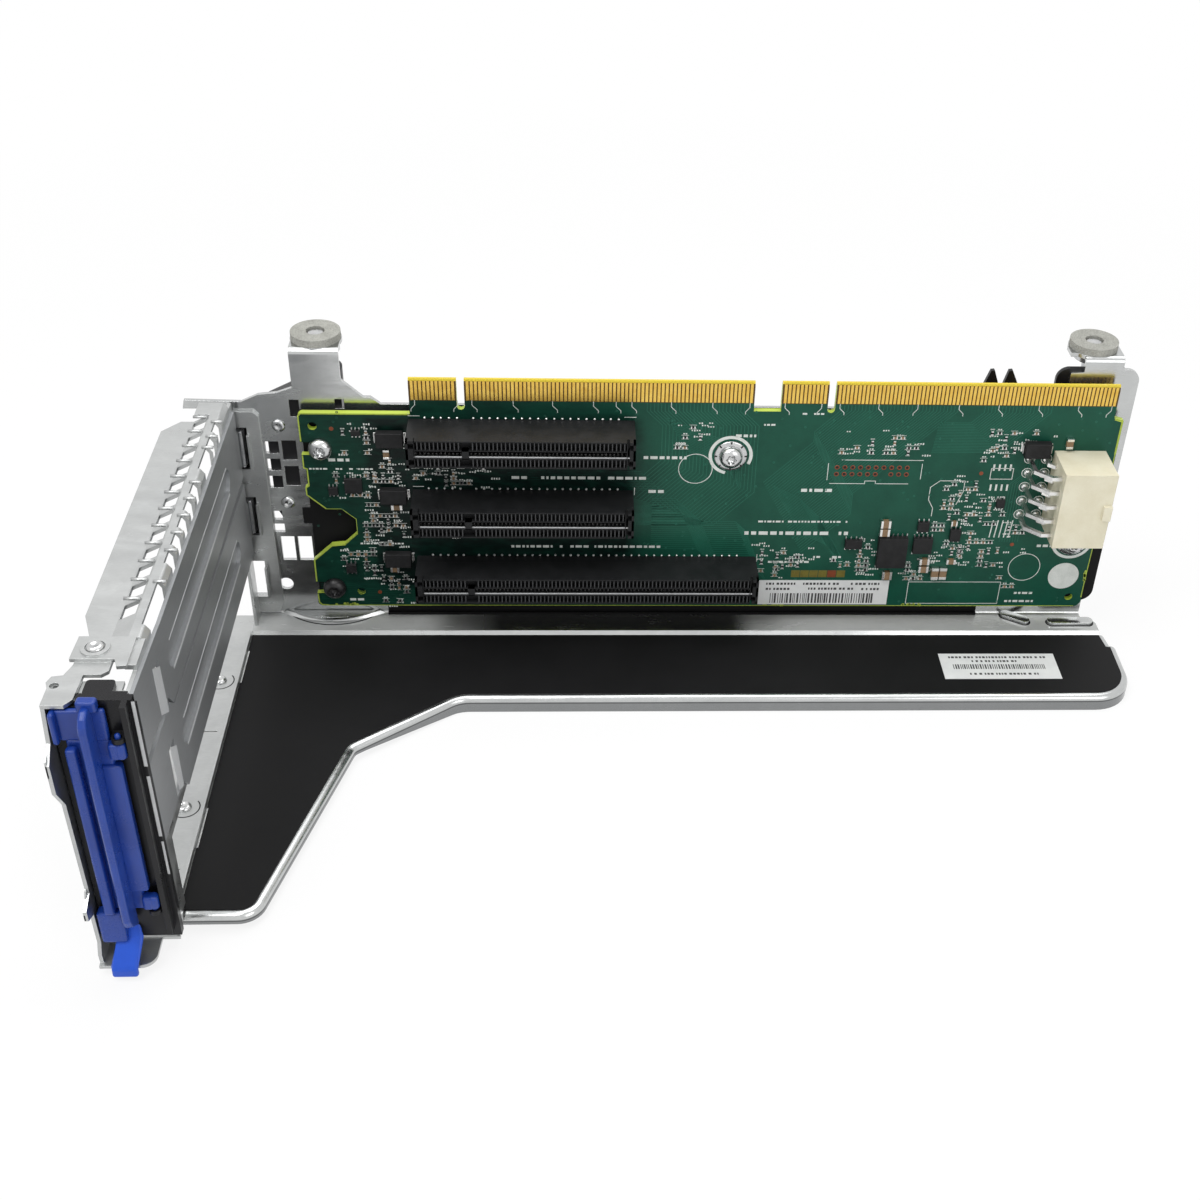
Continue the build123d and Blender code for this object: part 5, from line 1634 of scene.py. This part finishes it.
@dataclass
class Latch:
    """Blue card retainer: plate, pull bar, rails, lugs with their pins, and the thumb tongue."""

    shop: Workshop
    back: float = -115.4
    face: float = -116.8
    hinge: Spot = (-49.3, -117.0)
    blocks: tuple[tuple[float, ...], ...] = (
        (-59.3, -51.0, -116.8, -115.4, -50.6, -5.0), (-60.3, -51.0, -116.8, -115.4, -5.4, 2.0),
        (-53.7, -49.7, -117.5, -115.4, -45.0, -11.2), (-61.2, -60.0, -118.2, -115.4, -5.4, 2.0),
        (-55.8, -52.0, -117.6, -115.4, 2.0, 4.6), (-59.3, -57.1, -118.7, -116.8, -50.6, -6.2),
        (-61.2, -56.0, -118.2, -115.4, -59.2, -50.6))
    bar: tuple[Spot, ...] = (
        (-116.4, 3.4), (-118.9, 3.4), (-120.4, 2.7), (-121.3, 1.4), (-121.6, 0.0), (-121.6, -49.8),
        (-121.2, -51.4), (-119.9, -52.8), (-116.4, -55.5))
    lugs: tuple[Field, ...] = ((-9.2, -5.4, -9.2, -3.2), (-49.7, -46.2, -51.9, -46.2))
    tongue: tuple[Point, ...] = (
        (-58.8, -115.4, -56.0), (-58.8, -117.0, -58.6), (-59.6, -121.6, -63.7),
        (-59.6, -121.6, -66.1), (-59.6, -120.1, -66.1), (-59.6, -120.0, -64.0),
        (-58.8, -115.4, -60.4))

    def build(self) -> None:
        """Make the latch as one moulding with rounded edges."""
        blue, painted_lit_blue = self.shop.finishes("moulded_blue", "tongue_blue_painted_light")
        piece = Piece("latch_moulding", "blue_plastic", ("retainer_latch",), 0.6, "latch")
        for block in self.blocks:
            piece.box(*block, blue)
        piece.prism([(-55.0, y, z) for y, z in self.bar], (1.7, 0, 0), blue)
        for z0, z1, pin0, pin1 in self.lugs:
            piece.box(-51.4, self.hinge[0], -118.2, -115.8, z0, z1, blue)
            piece.rod((*self.hinge, z0), 1.2, z1 - z0, blue, 28, True)
            piece.rod((*self.hinge, pin0), 0.6, pin1 - pin0, blue, 20, True)
        # The tongue in a lighter blue: painted light
        piece.prism(list(self.tongue), (5.4, 0, 0), painted_lit_blue)
        piece.close()


@dataclass
class SheetMetal:
    """Cage, rear panel, covers, films, guides and pads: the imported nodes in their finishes.

    An opening of the panel's inner row has its middle and length.
    """

    shop: Workshop
    coats: tuple[tuple[str, tuple[str, ...]], ...] = (
        ("zinc_sheet", ("rear_panel",)), ("cage_zinc", ("cage_frame",)),
        # The slot covers get the darker zinc: painted dark reflection
        ("cover_zinc_painted_reflection", ("slot_cover_upper", "slot_cover_lower")),
        ("black_film", ("deck_film", "wall_film")), ("green_laminate", ("riser_board",)),
        ("connector_cream", ("power_connector",)), ("tin", ("power_pins",)),
        ("moulded_black", ("latch_base", "screw_guide_left", "screw_guide_right", "cable_clip")),
        ("grey_foam", ("pad_left", "pad_right")))
    cover: float = -46.5
    keyholes: Spot = (-25.9, -73.4)
    small_opening: float = 4.9
    openings: tuple[Spot, ...] = (
        (-12.5, 4.9), (-19.5, 4.9), (-27.0, 9.6), (-40.2, 4.9), (-47.1, 4.9), (-54.0, 4.9),
        (-60.9, 4.9), (-67.8, 4.9), (-84.5, 15.0))
    lip: tuple[Spot, ...] = ((0.5, 4.0), (0.0, 4.4), (-0.45, 4.35), (-0.6, 3.9), (-0.35, 3.85),
                             (-0.2, 4.05), (0.3, 3.95))
    foot_ribs: tuple[Field, ...] = ((173.6, -1.0, 4.9, 0.0), (158.6, 0.9, 2.7, -32.0))
    # Painted light bars on the slot covers, y and z of their corners
    light_bars: tuple[tuple[Spot, ...], ...] = (
        ((-98.2, -2.5), (-93.3, -5.5), (-92.8, -17.7), (-97.9, -14.5)),
        ((-96.6, -24.1), (-92.3, -27.2), (-92.3, -38.5), (-95.8, -36.6)))
    edges: tuple[tuple[Spot, ...], ...] = (
        ((-116.5, -5.2), (-117.4, -5.2), (-121.0, -7.0), (-121.0, -11.0), (-116.5, -11.0)),
        ((-116.5, -43.5), (-117.6, -44.5), (-119.0, -46.8), (-121.0, -48.0), (-121.0, -49.5),
         (-116.5, -49.5)))
    tip: tuple[Spot, ...] = ((-47.2, 4.3), (-46.7, 2.6), (-46.2, 2.1), (-45.7, 2.4),
                             (-45.3, 4.3))

    def build(self) -> None:
        """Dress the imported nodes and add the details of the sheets."""
        for finish, nodes in self.coats:
            self.shop.palette.dress(finish, *nodes)
        zinc = self.shop.palette["bright_zinc"]
        piece = Piece("film_edge_tabs", "galvanised_sheet", (), 0.1)
        for y0, y1 in ((-26.1, -12.7), (-86.3, -73.2)):
            piece.box(-48.4, -47.9, y0, y1, -62.75, -62.6, zinc)
        piece.close()
        self._covers()
        self._cover_tips()
        self._keyholes()
        self._foot()
        self._panel_lips()

    def _panel_lips(self) -> None:
        """Raised lips at the far ends of the rear panel's small openings."""
        piece = Piece("panel_lips", "galvanised_sheet")
        ends = [(-54.2, 3.3, -10.2 - 6.85 * k + self.small_opening / 2) for k in range(12)]
        ends += [(-49.6, 2.7, y + length / 2) for y, length in self.openings]
        for x, wide, y in ends:
            piece.prism([(x, y + out, z) for out, z in self.lip], (wide, 0, 0),
                        self.shop.palette["zinc_sheet"], smooth=True)
        piece.close()

    def _foot(self) -> None:
        """Black band at the wall's foot under the board, rounded ribs on a rim of painted shade,
        and the half-moon's painted highlight and painted shade line.
        """
        black, zinc, sheet = self.shop.finishes("black_film", "bright_zinc", "cage_zinc")
        # Black band under the board, on the wall's foot and onto the strip in front of it
        piece = Piece("black_band_at_foot", "black_film")
        piece.box(-13.2, 148.0, 3.4, 3.6, -61.2, -57.2, black)
        piece.box(-13.2, 148.0, 2.6, 3.6, FOOT, -61.15, black)
        piece.close()
        piece = Piece("foot_ribs", "galvanised_sheet", (), 0.5)
        for x, y, reach, lean in self.foot_ribs:
            # Each rib sits on a wider black rim of painted shade
            for radius, high, finish in ((1.45, 0.95, sheet), (1.85, 0.03, black)):
                piece.prism(self._long_rib(x, y, reach, math.radians(lean), radius),
                            (0, 0, high), finish, smooth=True)
        piece.close()
        piece = Piece("half_moon_painted_light_and_shade", "galvanised_sheet")
        moon = [(x, y) for x, y in arc((-27.8, 14.9), 16.6, 212, 116, 30) if y < 3.5]
        # Painted highlight along the half-moon's edge
        piece.ribbon([(x, y + 0.75) for x, y in moon], 0.8, zinc, level=-61.0, thick=0.25)
        # Painted shade line beside it
        piece.ribbon([(x, y - 0.35) for x, y in moon], 0.4, black, level=FOOT, thick=0.02)
        piece.close()

    @staticmethod
    def _long_rib(x: float, y: float, reach: float, lean: float, radius: float) -> list[Point]:
        """Draw the outline of a long rib with round ends.

        Args:
            x: its middle along the board.
            y: its middle's depth.
            reach: from its middle to the centre of an end.
            lean: its angle.
            radius: radius of its ends.

        Returns:
            The outline.
        """
        outline = []
        for k in range(24):
            angle = 2 * math.pi * k / 24
            along = (reach if math.cos(angle) > 0 else -reach) + radius * math.cos(angle)
            across = radius * math.sin(angle)
            outline.append((x + along * math.cos(lean) - across * math.sin(lean),
                            y + along * math.sin(lean) + across * math.cos(lean), FOOT))
        return outline

    def _covers(self) -> None:
        """Painted light bars and painted highlight lines on the slot covers, their folded ends,
        and the panel's cut edge.
        """
        steel_and_highlight, sheet = self.shop.finishes("steel_and_painted_highlight", "zinc_sheet")
        piece = Piece("cover_painted_light_and_ends", "galvanised_sheet")
        for flat in self.light_bars:
            piece.prism([(self.cover, y, z) for y, z in flat], (0.06, 0, 0), steel_and_highlight)
        # Painted highlight lines along the upper and lower edges of each cover's recess
        for top in (1.3, -19.42):
            for level, high in ((top - 14.35, 0.55), (top - 7.1, 0.3)):
                piece.box(self.cover, self.cover + 0.08, -84.0, -15.2, level - high / 2,
                          level + high / 2, steel_and_highlight)
        for x, z0, z1 in ((-46.1, -13.0, 3.0), (-46.1, -31.5, -15.6), (-45.9, -42.0, -33.0)):
            piece.box(x, -45.45, -115.32, -115.2, z0, z1, steel_and_highlight)
        piece.close()
        piece = Piece("panel_edge", "galvanised_sheet")
        for edge in self.edges:
            piece.prism([(-62.5, y, z) for y, z in edge], (0.3, 0, 0), sheet)
        piece.close()

    def _cover_tips(self) -> None:
        """Tips of the slot covers in their slots in the wall, a black sheet of painted shadow
        behind each and a painted highlight along its bend.
        """
        black, painted_dark, zinc = self.shop.finishes("black_film", "cover_zinc_painted_reflection", "bright_zinc")
        piece = Piece("cover_tips", "galvanised_sheet")
        for z0, z1 in ((-16.7, -4.7), (-36.5, -24.9)):
            # Black sheet of painted shadow in the wall's slot behind the tip
            piece.box(-47.8, -44.2, 4.3, 4.5, z0, z1, black)
            piece.prism([(x, y, z0 + 0.9) for x, y in self.tip], (0, 0, z1 - z0 - 1.8), painted_dark)
            # Painted highlight along the tip's bend
            piece.box(-46.0, -45.5, 2.0, 2.35, z0 + 1.2, z1 - 1.2, zinc)
        piece.close()

    def _keyholes(self) -> None:
        """Dark arcs round the flange's rivets, with their tails."""
        piece = Piece("keyhole_arcs", "galvanised_sheet")
        for y in self.keyholes:
            line = arc((-53.2, y), 3.4, 40, -250, 24) + [(-56.4, y - 8.5), (-56.4, y - 11.0)]
            piece.ribbon(line, 0.28, self.shop.palette["black_film"], level=FLANGE, thick=0.02)
        piece.close()


@dataclass
class Studio:
    """Camera, lamps, floor and surroundings. A lamp has its name, place, size and power."""

    place: Point = (-0.02452, -0.302887, 0.263864)
    turn: Point = (53.2247, -2.2010, -2.9880)
    lens: float = 48.42
    sensor: float = 36.0
    shift: Spot = (-0.0633, 0.0359)
    aim: Point = (0, 0, 0.04)
    lamps: tuple[tuple[str, Point, float, float], ...] = (
        ("key", (-0.35, -0.30, 0.85), 0.5, 4.6), ("fill", (0.5, -0.70, 0.45), 0.5, 1.7),
        ("top", (0.1, 0.25, 0.9), 0.7, 4.2))
    floor_half: float = 4.0
    floor_grey: float = 0.92
    glow: Spot = (0.84, 1.0)
    glow_range: Spot = (0.18, 0.5)
    ambient: float = 0.35

    def build(self) -> None:
        """Set up the view and the light."""
        self._camera()
        self._lamps()
        self._floor()
        self._world()
        bpy.context.scene.view_settings.view_transform = "Standard"

    def _camera(self) -> None:
        """Camera at the photograph's view."""
        data = bpy.data.cameras.new("camera")
        data.lens, data.sensor_width, data.sensor_fit = self.lens, self.sensor, "HORIZONTAL"
        data.shift_x, data.shift_y = self.shift
        data.clip_start = 0.01
        camera = bpy.data.objects.new("camera", data)
        camera.location = self.place
        camera.rotation_euler = [math.radians(angle) for angle in self.turn]
        bpy.context.scene.collection.objects.link(camera)
        bpy.context.scene.camera = camera

    def _lamps(self) -> None:
        """Soft square lamps, all turned to the object's middle."""
        for name, place, size, power in self.lamps:
            data = bpy.data.lights.new(name, "AREA")
            data.shape, data.size, data.energy = "SQUARE", size, power
            lamp = bpy.data.objects.new(name, data)
            lamp.location = place
            facing = (Vector(self.aim) - Vector(place)).to_track_quat("-Z", "Y")
            lamp.rotation_euler = facing.to_euler()
            bpy.context.scene.collection.objects.link(lamp)

    @staticmethod
    def _seen(graph: Graph) -> Socket:
        """Mask of what is seen, directly, in a gloss or through glass.

        Args:
            graph: the material's or world's graph.

        Returns:
            The mask's socket.
        """
        path = graph.add("ShaderNodeLightPath").outputs
        both = graph.math("MAXIMUM", path["Is Camera Ray"], path["Is Glossy Ray"])
        return graph.math("MAXIMUM", both, path["Is Transmission Ray"])

    def _floor(self) -> None:
        """Wide pale floor that keeps a faint shadow."""
        mesh, far = bpy.data.meshes.new("floor"), self.floor_half
        mesh.from_pydata([(-far, -far, 0), (far, -far, 0), (far, far, 0), (-far, far, 0)], [],
                         [(0, 1, 2, 3)])
        floor = bpy.data.objects.new("floor", mesh)
        bpy.context.scene.collection.objects.link(floor)
        material = bpy.data.materials.new("floor_paper")
        material.use_nodes = True
        graph = Graph(material.node_tree)
        shader = material.node_tree.nodes["Principled BSDF"]
        shader.inputs["Base Color"].default_value = (*[self.floor_grey] * 3, 1)
        shader.inputs["Roughness"].default_value = 0.9
        shader.inputs["Specular IOR Level"].default_value = 0.0
        glow = graph.out("ShaderNodeEmission", {"Color": (1, 1, 1, 1), "Strength": 1.0})
        away = graph.add("ShaderNodeVectorMath", {0: graph.place()}, operation="LENGTH")
        share = graph.math("MULTIPLY", self._seen(graph),
                           graph.ramp(away.outputs["Value"], *self.glow_range, *self.glow))
        both = graph.out("ShaderNodeMixShader", {0: share, 1: shader.outputs[0], 2: glow})
        graph.link(both, material.node_tree.nodes["Material Output"].inputs[0])
        mesh.materials.append(material)

    def _world(self) -> None:
        """Even surroundings, white where they are seen or mirrored and dimmer as light."""
        world = bpy.context.scene.world or bpy.data.worlds.new("studio")
        bpy.context.scene.world = world
        world.use_nodes = True
        graph = Graph(world.node_tree)
        for node in list(world.node_tree.nodes):
            world.node_tree.nodes.remove(node)
        dim, white = (graph.out("ShaderNodeBackground", {"Color": (1, 1, 1, 1), "Strength": power})
                      for power in (self.ambient, 1.0))
        both = graph.out("ShaderNodeMixShader", {0: self._seen(graph), 1: dim, 2: white})
        graph.add("ShaderNodeOutputWorld", {0: both})


def main() -> None:
    """Build the scene, part by part."""
    logging.basicConfig(level=logging.INFO, format="%(name)s %(message)s")
    shop = Workshop(Palette(), Trees())
    slots = (("slot_x8_upper", 56.0), ("slot_x8_middle", 56.0), ("slot_x16_lower", 89.0))
    Studio().build()
    SheetMetal(shop).build()
    CardEdges(shop).build()
    for row, (name, length) in enumerate(slots):
        CardSlot(shop, name, row, length).build()
    for assembly in (BoardParts, BoardPrint, Labels, Fasteners, Captives, Latch):
        assembly(shop).build()
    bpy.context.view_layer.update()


if __name__ == "__main__":
    main()
